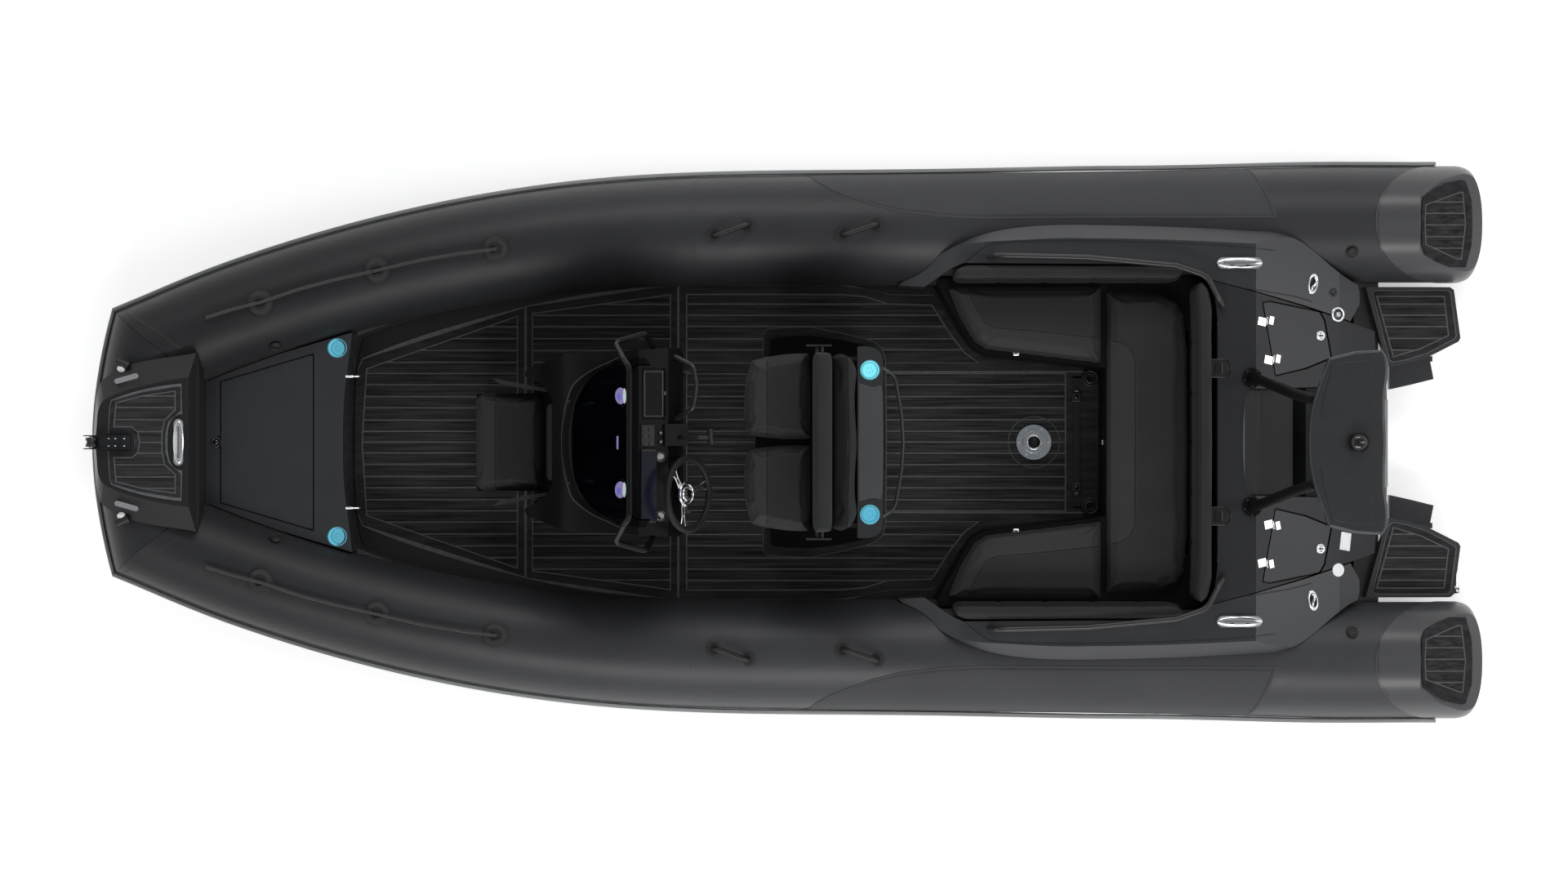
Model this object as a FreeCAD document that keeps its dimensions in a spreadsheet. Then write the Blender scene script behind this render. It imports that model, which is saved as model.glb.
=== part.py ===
import FreeCAD, Part
import math
import os

# Rigid inflatable boat, 6.5 m, built as an assembly of separate pieces.
# Frame: +X to the bow, +Y to port, +Z up, millimetres. The origin is on the
# waterline, on the centreline, at mid-length. The deep-V hull reaches below z = 0.
#
# Plan outlines are given as points of a 1920 x 1080 plan grid seen from above:
# x grows from bow to stern and y from starboard to port. plan() turns a grid
# point at height z into millimetres, with the perspective of a viewpoint 16.3 m up.

V = FreeCAD.Vector
doc = FreeCAD.newDocument("rib_boat")
sheet = doc.addObject("Spreadsheet::Sheet", "dims")
VAL = {}
ROW = [0]


def dim(name, value):
    ROW[0] += 1
    sheet.set("A%d" % ROW[0], name)
    sheet.set("B%d" % ROW[0], "%.4f" % value)
    sheet.setAlias("B%d" % ROW[0], name)
    VAL[name] = float(value)
    return name


# driving dimensions
dim("tube_r_stern", 272.0)
dim("tube_r_mid", 257.5)
dim("tube_r_bow", 225.0)
dim("tube_r_front", 217.0)
dim("tube_gap", 4.0)
dim("cap_wall", 3.0)
dim("strake_out", 22.0)
dim("strake_tall", 92.0)
dim("sole_bottom", 42.0)
dim("sole_thick", 18.0)
dim("pad_level", 60.0)
dim("pad_thick", 6.0)
dim("pad_top", 66.0)
dim("keel_draft", 330.0)
dim("rail_r", 13.0)
dim("rope_r", 7.0)
dim("leg_r", 24.0)
dim("wheel_r", 160.0)
dim("wheel_rim_r", 14.0)
dim("lid_gap", 6.0)
dim("socket_bore_r", 28.5)
dim("socket_depth", 26.0)
dim("post_bore_r", 15.5)
dim("post_depth", 22.0)
dim("cup_r", 41.0)
dim("cup_depth", 75.0)
dim("roller_r", 24.0)
dim("roller_pin_r", 6.0)
dim("roller_bore_r", 6.06)
sheet.recompute()


def val(x):
    return VAL[x] if isinstance(x, str) else float(x)


def bind(obj, prop, x, hint):
    # every size is read from the sheet; a plain number gets a cell of its own
    if not isinstance(x, str):
        x = dim(hint, x)
    obj.setExpression(prop, "dims." + x)


def scale_at(z):
    return 3.83 * (16300.0 - z) / 16000.0


def plan(px, py, z):
    s = scale_at(z)
    return ((960.0 - px) * s, (py - 541.5) * s)


def outline(z, *segs):
    # closed outline from grid points: ("l", points) is a chain of lines, ("s", points) a spline
    out = []
    for kind, pts in segs:
        out.append((kind, [plan(x, y, z) for x, y in pts]))
    return close_up(out)


def mm_outline(*segs):
    return close_up([(k, list(p)) for k, p in segs])


def close_up(out):
    first = out[0][1][0]
    last = out[-1][1][-1]
    for a, b in zip(out[:-1], out[1:]):
        if math.hypot(a[1][-1][0] - b[1][0][0], a[1][-1][1] - b[1][0][1]) > 1e-6:
            b[1].insert(0, a[1][-1])
    if math.hypot(first[0] - last[0], first[1] - last[1]) > 1e-6:
        out.append(("l", [last, first]))
    return out


def mirrored(ol):
    return [(k, [(x, -y) for x, y in p]) for k, p in ol]


def symmetric(z, *segs):
    # half outline from the centreline forward to the centreline aft, then its mirror image
    half = [(k, [plan(x, y, z) for x, y in p]) for k, p in segs]
    return sym_mm(half)


def sym_mm(half):
    half = [(k, list(p)) for k, p in half]
    for a, b in zip(half[:-1], half[1:]):
        if math.hypot(a[1][-1][0] - b[1][0][0], a[1][-1][1] - b[1][0][1]) > 1e-6:
            b[1].insert(0, a[1][-1])
    back = [(k, [(x, -y) for x, y in reversed(p)]) for k, p in reversed(half)]
    full = half + back
    # a spline that crosses the centreline stays one smooth curve
    j = len(half)
    if full[j - 1][0] == "s" and full[j][0] == "s":
        full[j - 1] = ("s", full[j - 1][1] + full[j][1][1:])
        del full[j]
    if full[0][0] == "s" and full[-1][0] == "s" and len(full) > 1:
        full[0] = ("s", full[-1][1] + full[0][1][1:])
        del full[-1]
    return full


def add_outline(sk, ol):
    geo = []
    for kind, pts in ol:
        if kind == "l" or len(pts) < 3:
            for a, b in zip(pts[:-1], pts[1:]):
                if math.hypot(a[0] - b[0], a[1] - b[1]) > 1e-6:
                    geo.append(Part.LineSegment(V(a[0], a[1], 0), V(b[0], b[1], 0)))
        else:
            c = Part.BSplineCurve()
            c.interpolate([V(a[0], a[1], 0) for a in pts])
            geo.append(c)
    sk.addGeometry(geo, False)


def plane_of(body, role):
    return [o for o in body.Origin.OriginFeatures if o.Role == role][0]


def prism(name, ol, z0, height):
    # a plan outline padded upwards from z0
    body = doc.addObject("PartDesign::Body", name)
    sk = body.newObject("Sketcher::SketchObject", name + "_outline")
    sk.AttachmentSupport = [(plane_of(body, "XY_Plane"), "")]
    sk.MapMode = "FlatFace"
    add_outline(sk, ol)
    pad = body.newObject("PartDesign::Pad", name + "_pad")
    pad.Profile = sk
    bind(pad, "Length", height, name + "_tall")
    body.Placement = FreeCAD.Placement(V(0, 0, val(z0)), FreeCAD.Rotation())
    bind(body, ".Placement.Base.z", z0, name + "_level")
    return body


def side_profile(name, pts, width, y=0.0):
    # an X-Z profile padded symmetrically about the plane Y = y
    body = doc.addObject("PartDesign::Body", name)
    sk = body.newObject("Sketcher::SketchObject", name + "_profile")
    sk.AttachmentSupport = [(plane_of(body, "XZ_Plane"), "")]
    sk.MapMode = "FlatFace"
    pts = list(pts)
    if isinstance(pts[0][0], str):
        add_outline(sk, close_up([(k, list(p)) for k, p in pts]))
    else:
        add_outline(sk, [("l", pts + [pts[0]])])
    pad = body.newObject("PartDesign::Pad", name + "_pad")
    pad.Profile = sk
    pad.SideType = "Symmetric"
    bind(pad, "Length", width, name + "_wide")
    body.Placement = FreeCAD.Placement(V(0, y, 0), FreeCAD.Rotation())
    return body


def soften(body, radius, pick, hint):
    # rounds the edges that pick() chooses; a radius too large for them is halved
    pad = body.Tip
    doc.recompute()
    names = ["Edge%d" % (i + 1) for i, e in enumerate(pad.Shape.Edges) if pick(e)]
    if not names:
        return body
    fil = body.newObject("PartDesign::Fillet", body.Name + "_round")
    fil.Base = (pad, names)
    cell = dim(hint, radius)
    fil.setExpression("Radius", "dims." + cell)
    doc.recompute()
    if "Invalid" in fil.State or "Error" in fil.State or fil.Shape.isNull() or not fil.Shape.isValid():
        r = radius
        for f in (0.5, 0.25):
            sheet.set(sheet.getCellFromAlias(cell), "%.4f" % (r * f))
            VAL[cell] = r * f
            doc.recompute()
            if not ("Invalid" in fil.State or "Error" in fil.State) and fil.Shape.isValid():
                print("softened less:", body.Name, r * f)
                return body
        print("left sharp:", body.Name)
        body.removeObject(fil)
        doc.removeObject(fil.Name)
        body.Tip = pad
        doc.recompute()
    return body


def at_top(tol=0.6):
    def pick_for(body):
        z = max(v.Z for v in body.Tip.Shape.Vertexes)
        return lambda e: all(abs(v.Z - z) < tol for v in e.Vertexes)
    return pick_for


def soft_prism(name, ol, z0, height, radius, also_bottom=False):
    body = prism(name, ol, z0, height)
    doc.recompute()
    zs = [v.Z for v in body.Tip.Shape.Vertexes]
    lo, hi = min(zs), max(zs)

    def pick(e):
        top = all(abs(v.Z - hi) < 0.5 for v in e.Vertexes)
        low = also_bottom and all(abs(v.Z - lo) < 0.5 for v in e.Vertexes)
        return top or low
    return soften(body, radius, pick, name + "_soft")


def box(name, lo, hi):
    b = doc.addObject("Part::Box", name)
    bind(b, "Length", hi[0] - lo[0], name + "_lx")
    bind(b, "Width", hi[1] - lo[1], name + "_ly")
    bind(b, "Height", hi[2] - lo[2], name + "_lz")
    b.Placement = FreeCAD.Placement(V(*lo), FreeCAD.Rotation())
    return b


def cylinder(name, r, length, base, axis=(0, 0, 1)):
    c = doc.addObject("Part::Cylinder", name)
    bind(c, "Radius", r, name + "_rad")
    bind(c, "Height", length, name + "_len")
    c.Placement = FreeCAD.Placement(V(*base), FreeCAD.Rotation(V(0, 0, 1), V(*axis)))
    return c


def ball(name, r, centre):
    b = doc.addObject("Part::Sphere", name)
    bind(b, "Radius", r, name + "_rad")
    b.Placement = FreeCAD.Placement(V(*centre), FreeCAD.Rotation())
    return b


def half_space(name, point, normal, size=9000.0):
    # a large block on the +normal side of a plane
    rot = FreeCAD.Rotation(V(0, 0, 1), V(*normal))
    corner = V(*point) + rot.multVec(V(-size / 2, -size / 2, 0))
    b = doc.addObject("Part::Box", name)
    b.Length = size
    b.Width = size
    b.Height = size
    b.Placement = FreeCAD.Placement(corner, rot)
    return b


def cut(name, base, tool):
    c = doc.addObject("Part::Cut", name)
    c.Base = base
    c.Tool = tool
    return c


def cuts(name, base, *tools):
    cur = base
    for i, t in enumerate(tools):
        last = i == len(tools) - 1
        cur = cut(name if last else "%s_cut%d" % (name, i), cur, t)
    return cur


def fuse(name, *objs):
    f = doc.addObject("Part::MultiFuse", name)
    f.Shapes = list(objs)
    return f


def common(name, *objs):
    f = doc.addObject("Part::MultiCommon", name)
    f.Shapes = list(objs)
    return f


def group(name, *objs):
    f = doc.addObject("Part::Compound", name)
    f.Links = list(objs)
    return f


def free(name, shape):
    f = doc.addObject("Part::Feature", name)
    f.Shape = shape
    f.Placement = FreeCAD.Placement()
    return f


def path_wire(points, bend):
    # straight runs joined by tangent arcs
    pts = [V(*p) for p in points]
    edges = []
    cur = pts[0]
    for i in range(1, len(pts) - 1):
        a, b, c = pts[i - 1], pts[i], pts[i + 1]
        u = (a - b).normalize()
        w = (c - b).normalize()
        ang = u.getAngle(w)
        if ang > math.pi - 1e-4:
            continue
        r = bend[i - 1] if isinstance(bend, (list, tuple)) else bend
        room = 0.45 * min((b - a).Length, (c - b).Length)
        t = min(r / math.tan(ang / 2.0), room)
        r = t * math.tan(ang / 2.0)
        p1 = b + u * t
        p2 = b + w * t
        bis = (u + w).normalize()
        mid = b + bis * (r / math.sin(ang / 2.0) - r)
        if (p1 - cur).Length > 1e-6:
            edges.append(Part.LineSegment(cur, p1).toShape())
        edges.append(Part.Arc(p1, mid, p2).toShape())
        cur = p2
    edges.append(Part.LineSegment(cur, pts[-1]).toShape())
    return Part.Wire(edges)


def pipe(name, points, r, bend):
    wire = path_wire(points, bend)
    path = free(name + "_path", wire)
    d = V(*points[1]) - V(*points[0])
    ring = doc.addObject("Part::Circle", name + "_ring")
    bind(ring, "Radius", r, name + "_rad")
    ring.Placement = FreeCAD.Placement(V(*points[0]), FreeCAD.Rotation(V(0, 0, 1), d))
    sw = doc.addObject("Part::Sweep", name)
    sw.Sections = [ring]
    sw.Spine = (path, ["Edge%d" % (i + 1) for i in range(len(wire.Edges))])
    sw.Solid = True
    sw.Frenet = False
    return sw


NODES = {}


def node(obj, name=None):
    name = name or obj.Name
    obj.Label = name
    NODES[name] = obj
    return obj


# ---------------------------------------------------------------- cushions and padded pieces
SIDES = {"port": 1.0, "starboard": -1.0}
SEAT = 415.0
cs = soft_prism("console_seat", symmetric(550.0, ("l", [(581, 541.5), (581, 488), (589, 481), (660, 481), (666, 486), (666, 541.5)])),
                490.0, 70.0, 22.0)
node(cs)
node(soft_prism("console_backrest", mm_outline(("l", [(1047.0, -180.0), (1078.0, -174.0), (1078.0, 174.0), (1047.0, 180.0)])), 572.0, 215.0, 8.0))
hb_side = side_profile("helm_base_side", [(-395.0, 66.0), (120.0, 66.0), (85.0, 330.0), (130.0, 560.0), (130.0, 812.0), (-395.0, 812.0)], 780.0)
node(soften(hb_side, 26.0, lambda e: abs(e.Length - 780.0) > 1 and all(abs(abs(v.Y) - 390.0) < 1 for v in e.Vertexes), "helm_base_soft"), "helm_seat_base")
for side_name, sg in SIDES.items():
    pts1 = [(993, 544.5), (957, 544.0), (918, 549.5), (913, 556), (910, 580), (912, 618), (919.5, 643), (957, 650), (992, 652)]
    ol = outline(900.0, ("l", [(a, 541.5 + sg * (b - 541.5)) for a, b in pts1]))
    node(soft_prism("bolster_" + side_name, ol, 820.0, 84.0, 26.0))
bk = soft_prism("helm_backrest", mm_outline(("l", [(-132.0, -408.0), (-132.0, 408.0), (-212.0, 402.0), (-212.0, -402.0)])), 820.0, 385.0, 24.0)
node(bk)
node(soft_prism("helm_back_cover", symmetric(1000.0, ("l", [(1018.5, 541.5), (1018.5, 434.5), (1024, 432)]),
                                             ("s", [(1024, 432), (1036, 432.5), (1044, 438), (1047, 470), (1048.5, 541.5)])),
                813.0, 0.1 + 134.9 + 50.0, 20.0), "helm_back_cover")
for side_name, sg in SIDES.items():
    q = [(1160, 352), (1182, 349), (1350, 349), (1350, 445.5), (1208, 428.5), (1193, 419), (1175, 389)]
    ol = outline(480.0, ("l", [(a, 541.5 + sg * (541.5 - b)) for a, b in q]))
    node(soft_prism("bench_lid_" + side_name, ol, SEAT + 5.0, 65.0, 20.0))
aft_ol = symmetric(480.0, ("l", [(1354, 541.5), (1354, 355), (1424, 357.5), (1444, 366), (1452, 383), (1457, 430), (1458, 541.5)]))
node(soft_prism("bench_lid_aft", aft_ol, SEAT + 5.0, 65.0, 20.0))
# backrests round the bench, against the coamings
for side_name, sg in SIDES.items():
    q = [(1168, 328), (1182, 324.5), (1440, 326), (1456, 330), (1448, 341), (1436, 343.5), (1182, 343.5), (1168, 343.5)]
    ol = outline(700.0, ("l", [(a, 541.5 + sg * (541.5 - b)) for a, b in q]))
    node(soft_prism("backrest_" + side_name, ol, SEAT + 55.0, 217.0, 22.0))
ba_ol = symmetric(700.0, ("l", [(1468, 541.5), (1467.5, 420), (1466, 372), (1464.5, 352), (1470, 341), (1479, 350), (1484, 375), (1485, 541.5)]))
node(soft_prism("backrest_aft", ba_ol, SEAT + 1.5, 310.0, 22.0))

wing_ol = symmetric(1790.0, ("s", [(1603, 541.5), (1604.5, 515), (1609, 492), (1614, 477)]),
                    ("l", [(1628, 438), (1660, 430), (1692, 428)]), ("s", [(1692, 428), (1696, 433), (1697.5, 480), (1698, 541.5)]))
wing_b = soft_prism("arch_wing", wing_ol, 1730.0, 60.0, 14.0, True)
node(wing_b)

# ---------------------------------------------------------------- buoyancy tubes
SIL = [(160, 173.0), (240, 206.2), (340, 241.5), (460, 275.7), (580, 301.7), (700, 319.4), (820, 328.8),
       (980, 332.7), (1220, 335.6), (1460, 339.2)]
TUBE_Z = 270.0


def tube_z(x):
    return TUBE_Z if x <= 200 else TUBE_Z + 230.0 * ((x - 200.0) / 2700.0) ** 1.8


def radius_mix(x):
    # share of the stern, mid and bow radii at station x
    if x <= 230.0:
        f = min(1.0, (230.0 - x) / 2800.0)
        return (f, 1.0 - f, 0.0)
    f = min(1.0, (x - 230.0) / 2670.0)
    return (0.0, 1.0 - f, f)


def tube_r(x):
    a, b, c = radius_mix(x)
    return a * VAL["tube_r_stern"] + b * VAL["tube_r_mid"] + c * VAL["tube_r_bow"]


def side_axis():
    # the outer edge seen from above, moved in by the strake and the radius
    pts = []
    for px, hw in SIL:
        z = TUBE_Z
        for _ in range(4):
            x, y = plan(px, 541.5 + hw, z)
            z = tube_z(x)
        pts.append(V(x, y, 0))
    pts.append(V(-2500.0, 1022.0 + 22.0 + VAL["tube_r_stern"], 0))
    pts.append(V(-2700.0, 1022.0 + 22.0 + VAL["tube_r_stern"], 0))
    c = Part.BSplineCurve()
    c.interpolate(pts)
    axis = []
    for p in pts:
        d = c.tangent(c.parameter(p))[0]
        n = V(d.y, -d.x, 0).normalize()
        if n.y > 0:
            n = -n
        r = tube_r(p.x)
        q = p + n * (r + 22.0)
        axis.append(V(q.x, q.y, tube_z(q.x)))
    axis[-2] = V(-2500.0, 1022.0, TUBE_Z)
    axis[-1] = V(-2700.0, 1022.0, TUBE_Z)
    d = (axis[0] - axis[1]).normalize()
    return [axis[0] + d * 420.0, axis[0] + d * 200.0] + axis


AXIS = side_axis()
AXIS_DIR = []
for i, p in enumerate(AXIS):
    a = AXIS[max(0, i - 1)]
    b = AXIS[min(len(AXIS) - 1, i + 1)]
    AXIS_DIR.append((b - a).normalize())
AXIS_DIR[-1] = V(-1, 0, 0)
AXIS_DIR[-2] = V(-1, 0, 0)

_cx = [p.x for p in AXIS]


def axis_at(x):
    # tube centre (y, z) and plan direction at station x
    pts = AXIS
    if x <= pts[-1].x:
        return pts[-1].y, pts[-1].z, 0.0
    for a, b in zip(pts[:-1], pts[1:]):
        if b.x <= x <= a.x:
            t = (x - b.x) / (a.x - b.x)
            return b.y + t * (a.y - b.y), tube_z(x), (a.y - b.y) / (a.x - b.x)
    return pts[0].y, pts[0].z, (pts[0].y - pts[1].y) / (pts[0].x - pts[1].x)


def tube_loft(name, side, extra=None, tail=None):
    rings = []
    pts = list(zip(AXIS, AXIS_DIR))
    if tail:
        pts.append((V(tail, 1022.0, TUBE_Z), V(-1, 0, 0)))
    for i, (p, d) in enumerate(pts):
        c = doc.addObject("Part::Circle", "%s_ring%d" % (name, i))
        a, b, k = radius_mix(p.x)
        expr = "dims.tube_r_stern * %.6f + dims.tube_r_mid * %.6f + dims.tube_r_bow * %.6f" % (a, b, k)
        if extra:
            expr += " + dims.%s" % extra
        c.setExpression("Radius", expr)
        zd = V(d.x, d.y * side, d.z)
        xd = V(-zd.y, zd.x, 0).normalize() * side
        yd = zd.cross(xd)
        c.Placement = FreeCAD.Placement(V(p.x, p.y * side, p.z), FreeCAD.Rotation(xd, yd, zd, "ZXY"))
        rings.append(c)
    lo = doc.addObject("Part::Loft", name)
    lo.Sections = rings
    lo.Solid = True
    lo.Ruled = False
    return lo


# the mitre where each side tube meets the front tube, along (150, 376) to (233, 440) of the grid
ZM = 500.0
MC = plan(195, 661.5, ZM)
_n = V(-64.0, 83.0, 0).normalize()


def mitre(name, side, outer, gap):
    n = V(_n.x, _n.y * side, 0)
    p = V(MC[0], MC[1] * side, 0)
    if outer:
        return half_space(name, tuple(p - n * gap), tuple(-n))   # removes the front tube's side
    return half_space(name, tuple(p + n * gap), tuple(n))        # removes the side tube's side


CAP_TOP = (-2730.0, 545.0)
CAP_SIDE = (-3066.0, 270.0)
_cd = V(CAP_TOP[0] - CAP_SIDE[0], 0, CAP_TOP[1] - CAP_SIDE[1]).normalize()
CAP_N = V(_cd.z, 0, -_cd.x)      # points forward and down
if CAP_N.x < 0:
    CAP_N = -CAP_N


def end_body(name, grow, x0):
    # the tapered stern end, turned about the tube's axis
    body = doc.addObject("PartDesign::Body", name)
    sk = body.newObject("Sketcher::SketchObject", name + "_profile")
    sk.AttachmentSupport = [(plane_of(body, "XZ_Plane"), "")]
    sk.MapMode = "FlatFace"
    g = grow
    pts = [(-3127.0, 272.0 + g), (-3160.0, 270.5 + g), (-3186.0, 264.0 + g), (-3210.0, 250.0 + g),
           (-3234.0, 212.0 + g), (-3257.0, 120.0 + g * 0.5), (-3263.5 - g, 0.0)]
    sp = Part.BSplineCurve()
    sp.interpolate([V(a, b, 0) for a, b in pts])
    sk.addGeometry([sp,
                    Part.LineSegment(V(pts[-1][0], 0, 0), V(x0, 0, 0)),
                    Part.LineSegment(V(x0, 0, 0), V(x0, 272.0 + g, 0)),
                    Part.LineSegment(V(x0, 272.0 + g, 0), V(pts[0][0], pts[0][1], 0))], False)
    rev = body.newObject("PartDesign::Revolution", name + "_turn")
    rev.Profile = sk
    rev.ReferenceAxis = (sk, ["H_Axis"])
    rev.Angle = 360.0
    return body


TUBE_ENL = {}
for side_name, sg in SIDES.items():
    lo = tube_loft("tube_air_" + side_name, sg)
    end = end_body("tube_tail_" + side_name, 0.0, -2700.0)
    end.Placement = FreeCAD.Placement(V(0, 1022.0 * sg, TUBE_Z), FreeCAD.Rotation())
    whole = fuse("tube_whole_" + side_name, lo, end)
    m = mitre("tube_mitre_" + side_name, sg, True, -0.75)
    behind = half_space("tube_aft_" + side_name, (CAP_SIDE[0], 0, CAP_SIDE[1]), tuple(-CAP_N))
    node(cuts("tube_" + side_name, whole, m, behind))
    # a slightly larger copy that shapes whatever rests against the tube
    big = fuse("tube_room_blank_" + side_name, tube_loft("tube_room_loft_" + side_name, sg, "tube_gap"),
               cylinder("tube_room_tail_" + side_name, 276.0, 700.0, (-3400.0, 1022.0 * sg, TUBE_Z), (1, 0, 0)))
    m2 = mitre("tube_room_mitre_" + side_name, sg, True, 0.0)
    TUBE_ENL[side_name] = cut("tube_room_" + side_name, big, m2)
    # glassfibre end cap with a sloping step cut into its top
    cap = end_body("tube_cap_blank_" + side_name, VAL["cap_wall"], -2600.0)
    cap.Placement = FreeCAD.Placement(V(0, 1022.0 * sg, TUBE_Z), FreeCAD.Rotation())
    ahead = half_space("tube_cap_front_" + side_name,
                       tuple(V(CAP_SIDE[0], 0, CAP_SIDE[1]) - CAP_N * 1.0), tuple(CAP_N))
    step = side_profile("tube_cap_step_" + side_name,
                        [(-2941.0, 507.0), (-3330.0, 358.0), (-3330.0, 800.0), (-2941.0, 800.0)], 700.0, 1022.0 * sg)
    node(cuts("tube_cap_" + side_name, cap, ahead, step))

# front tube across the bow
FRONT = [(222, 214.0), (208, 166.0), (195, 120.0), (187, 92.0), (180.5, 50.0), (177.5, 0.0)]


def front_tube(name, extra):
    pts = [V(*plan(px, 541.5 - hw, ZM), ZM) for px, hw in FRONT]
    pts = pts + [V(p.x, -p.y, p.z) for p in reversed(pts[:-1])]
    rings = []
    for i, p in enumerate(pts):
        a = pts[max(0, i - 1)]
        b = pts[min(len(pts) - 1, i + 1)]
        d = (b - a).normalize()
        c = doc.addObject("Part::Circle", "%s_ring%d" % (name, i))
        expr = "dims.tube_r_front"
        if abs(p.y) > 400:
            expr = "dims.tube_r_bow"
        if extra:
            expr += " + dims.%s" % extra
        c.setExpression("Radius", expr)
        xd = V(-d.y, d.x, 0).normalize()
        yd = d.cross(xd)
        c.Placement = FreeCAD.Placement(p, FreeCAD.Rotation(xd, yd, d, "ZXY"))
        rings.append(c)
    lo = doc.addObject("Part::Loft", name)
    lo.Sections = rings
    lo.Solid = True
    return lo


fb = front_tube("tube_bow_blank", None)
node(cuts("tube_bow", fb, mitre("bow_mitre_p", 1.0, False, -0.75), mitre("bow_mitre_s", -1.0, False, -0.75)))
fb2 = front_tube("tube_bow_room_blank", "tube_gap")
TUBE_ENL["bow"] = cuts("tube_room_bow", fb2, mitre("bow_room_mitre_p", 1.0, False, 0.0),
                       mitre("bow_room_mitre_s", -1.0, False, 0.0))


# ---------------------------------------------------------------- rubbing strake
def strake_section(p, d, r, side):
    out = V(d.y, -d.x, 0).normalize()
    if out.y * side < 0:
        out = -out
    if side == 0:
        out = V(d.y, -d.x, 0).normalize()
        if out.x < 0:
            out = -out
    up = d.cross(out)
    if up.z < 0:
        up = -up
    o = VAL["strake_out"]
    t = VAL["strake_tall"] / 2.0
    prof = [(r + 4.5, -t), (r + o * 0.62, -t * 0.94), (r + o, -t * 0.62), (r + o, t * 0.62),
            (r + o * 0.62, t * 0.94), (r + 4.5, t)]
    q = [p + out * a + up * b for a, b in prof]
    return Part.makePolygon(q + [q[0]])


strakes = []
for side_name, sg in SIDES.items():
    secs = []
    for p, d in list(zip(AXIS, AXIS_DIR)) + [(V(-3055.0, 1022.0, TUBE_Z), V(-1, 0, 0))]:
        secs.append(strake_section(V(p.x, p.y * sg, p.z), V(d.x, d.y * sg, d.z), tube_r(p.x), sg))
    st = free("strake_blank_" + side_name, Part.makeLoft(secs, True, False))
    strakes.append(cut("strake_" + side_name, st, mitre("strake_mitre_" + side_name, sg, True, -0.75)))
pts = [V(*plan(px, 541.5 - hw, ZM), ZM) for px, hw in FRONT]
pts = pts + [V(p.x, -p.y, p.z) for p in reversed(pts[:-1])]
secs = []
for i, p in enumerate(pts):
    d = (pts[min(len(pts) - 1, i + 1)] - pts[max(0, i - 1)]).normalize()
    secs.append(strake_section(p, d, VAL["tube_r_bow"] if abs(p.y) > 400 else VAL["tube_r_front"], 0))
st = free("strake_blank_bow", Part.makeLoft(secs, True, False))
strakes.append(cuts("strake_bow", st, mitre("strake_mitre_bp", 1.0, False, -0.75), mitre("strake_mitre_bs", -1.0, False, -0.75)))
node(group("rubbing_strake", *strakes))


# ---------------------------------------------------------------- hull
def hull_section(x, zk, yc, zc, yt, zt):
    k = yc / 880.0
    ya = 0.46 * yc
    za = zk + 0.46 * (zc - zk)
    half = [(0.0, zk), (ya, za), (ya + 30.0 * k, za + 1.0 * k), (yc - 42.0 * k, zc - 8.0 * k), (yc, zc - 8.0 * k), (yt, zt)]
    pts = [V(x, y, z) for y, z in half] + [V(x, -y, z) for y, z in reversed(half[1:])]
    return Part.makePolygon(pts + [pts[0]])


KD = VAL["keel_draft"]
HULL = [(-2980, -KD, 880, -15, 1000, 310), (-2000, -KD, 880, -15, 1000, 310), (-1000, -KD, 876, -15, 998, 310),
        (0, -KD, 860, -15, 985, 310), (800, -KD + 8, 805, -12, 950, 312), (1400, -288, 722, -5, 885, 318),
        (1800, -235, 628, 12, 815, 340), (2200, -125, 500, 60, 705, 370), (2500, 10, 378, 125, 610, 415),
        (2700, 130, 275, 195, 530, 432), (2850, 258, 165, 275, 450, 455), (2960, 392, 45, 385, 390, 462)]
hull_blank = free("hull_blank", Part.makeLoft([hull_section(*h) for h in HULL], True, False))
# inner face of the cockpit, just outside the tubes' inner edge
WELL_HALF = [("s", [(2047.0, 0.0), (2044.0, -200.0), (2030.0, -380.0), (2002.0, -492.0)]),
             ("s", [(2002.0, -492.0), (1600.0, -622.0), (1200.0, -692.0), (800.0, -742.0), (0.0, -795.0), (-1000.0, -803.0),
                    (-2690.0, -803.0)]),
             ("l", [(-2690.0, -803.0), (-2690.0, 0.0)])]
well = prism("hull_well", sym_mm(WELL_HALF), 40.0, 900.0)
recess_ol = symmetric(460.0, ("l", [(246, 541.5), (246, 462), (431, 407)]),
                      ("s", [(431, 407), (427, 441), (421.5, 487), (420, 541.5)]))
locker_recess = prism("hull_locker_recess", symmetric(460.0, ("l", [(244, 541.5), (244, 455), (425, 400), (434, 400), (434, 541.5)])),
                      330.0, 400.0)
locker_sump = box("hull_locker_sump", (2225.0, -225.0, 215.0), (2590.0, 225.0, 360.0))
transom_aft = half_space("hull_transom_rake", (-2830.0, 0, 310.0), (-640.0, 0, -130.0))
notch_p = fuse("hull_step_p", box("hull_step_notch_p", (-2960.0, 340.0, 192.0), (-2688.0, 1200.0, 500.0)),
               box("hull_step_tail_p", (-2960.0, 262.2, 262.0), (-2688.0, 400.0, 500.0)))
notch_s = fuse("hull_step_s", box("hull_step_notch_s", (-2960.0, -1200.0, 192.0), (-2688.0, -340.0, 500.0)),
               box("hull_step_tail_s", (-2960.0, -400.0, 262.0), (-2688.0, -262.2, 500.0)))
node(cuts("hull", hull_blank, well, transom_aft, notch_p, notch_s, locker_recess, locker_sump, TUBE_ENL["port"],
          TUBE_ENL["starboard"], TUBE_ENL["bow"]))

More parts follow.
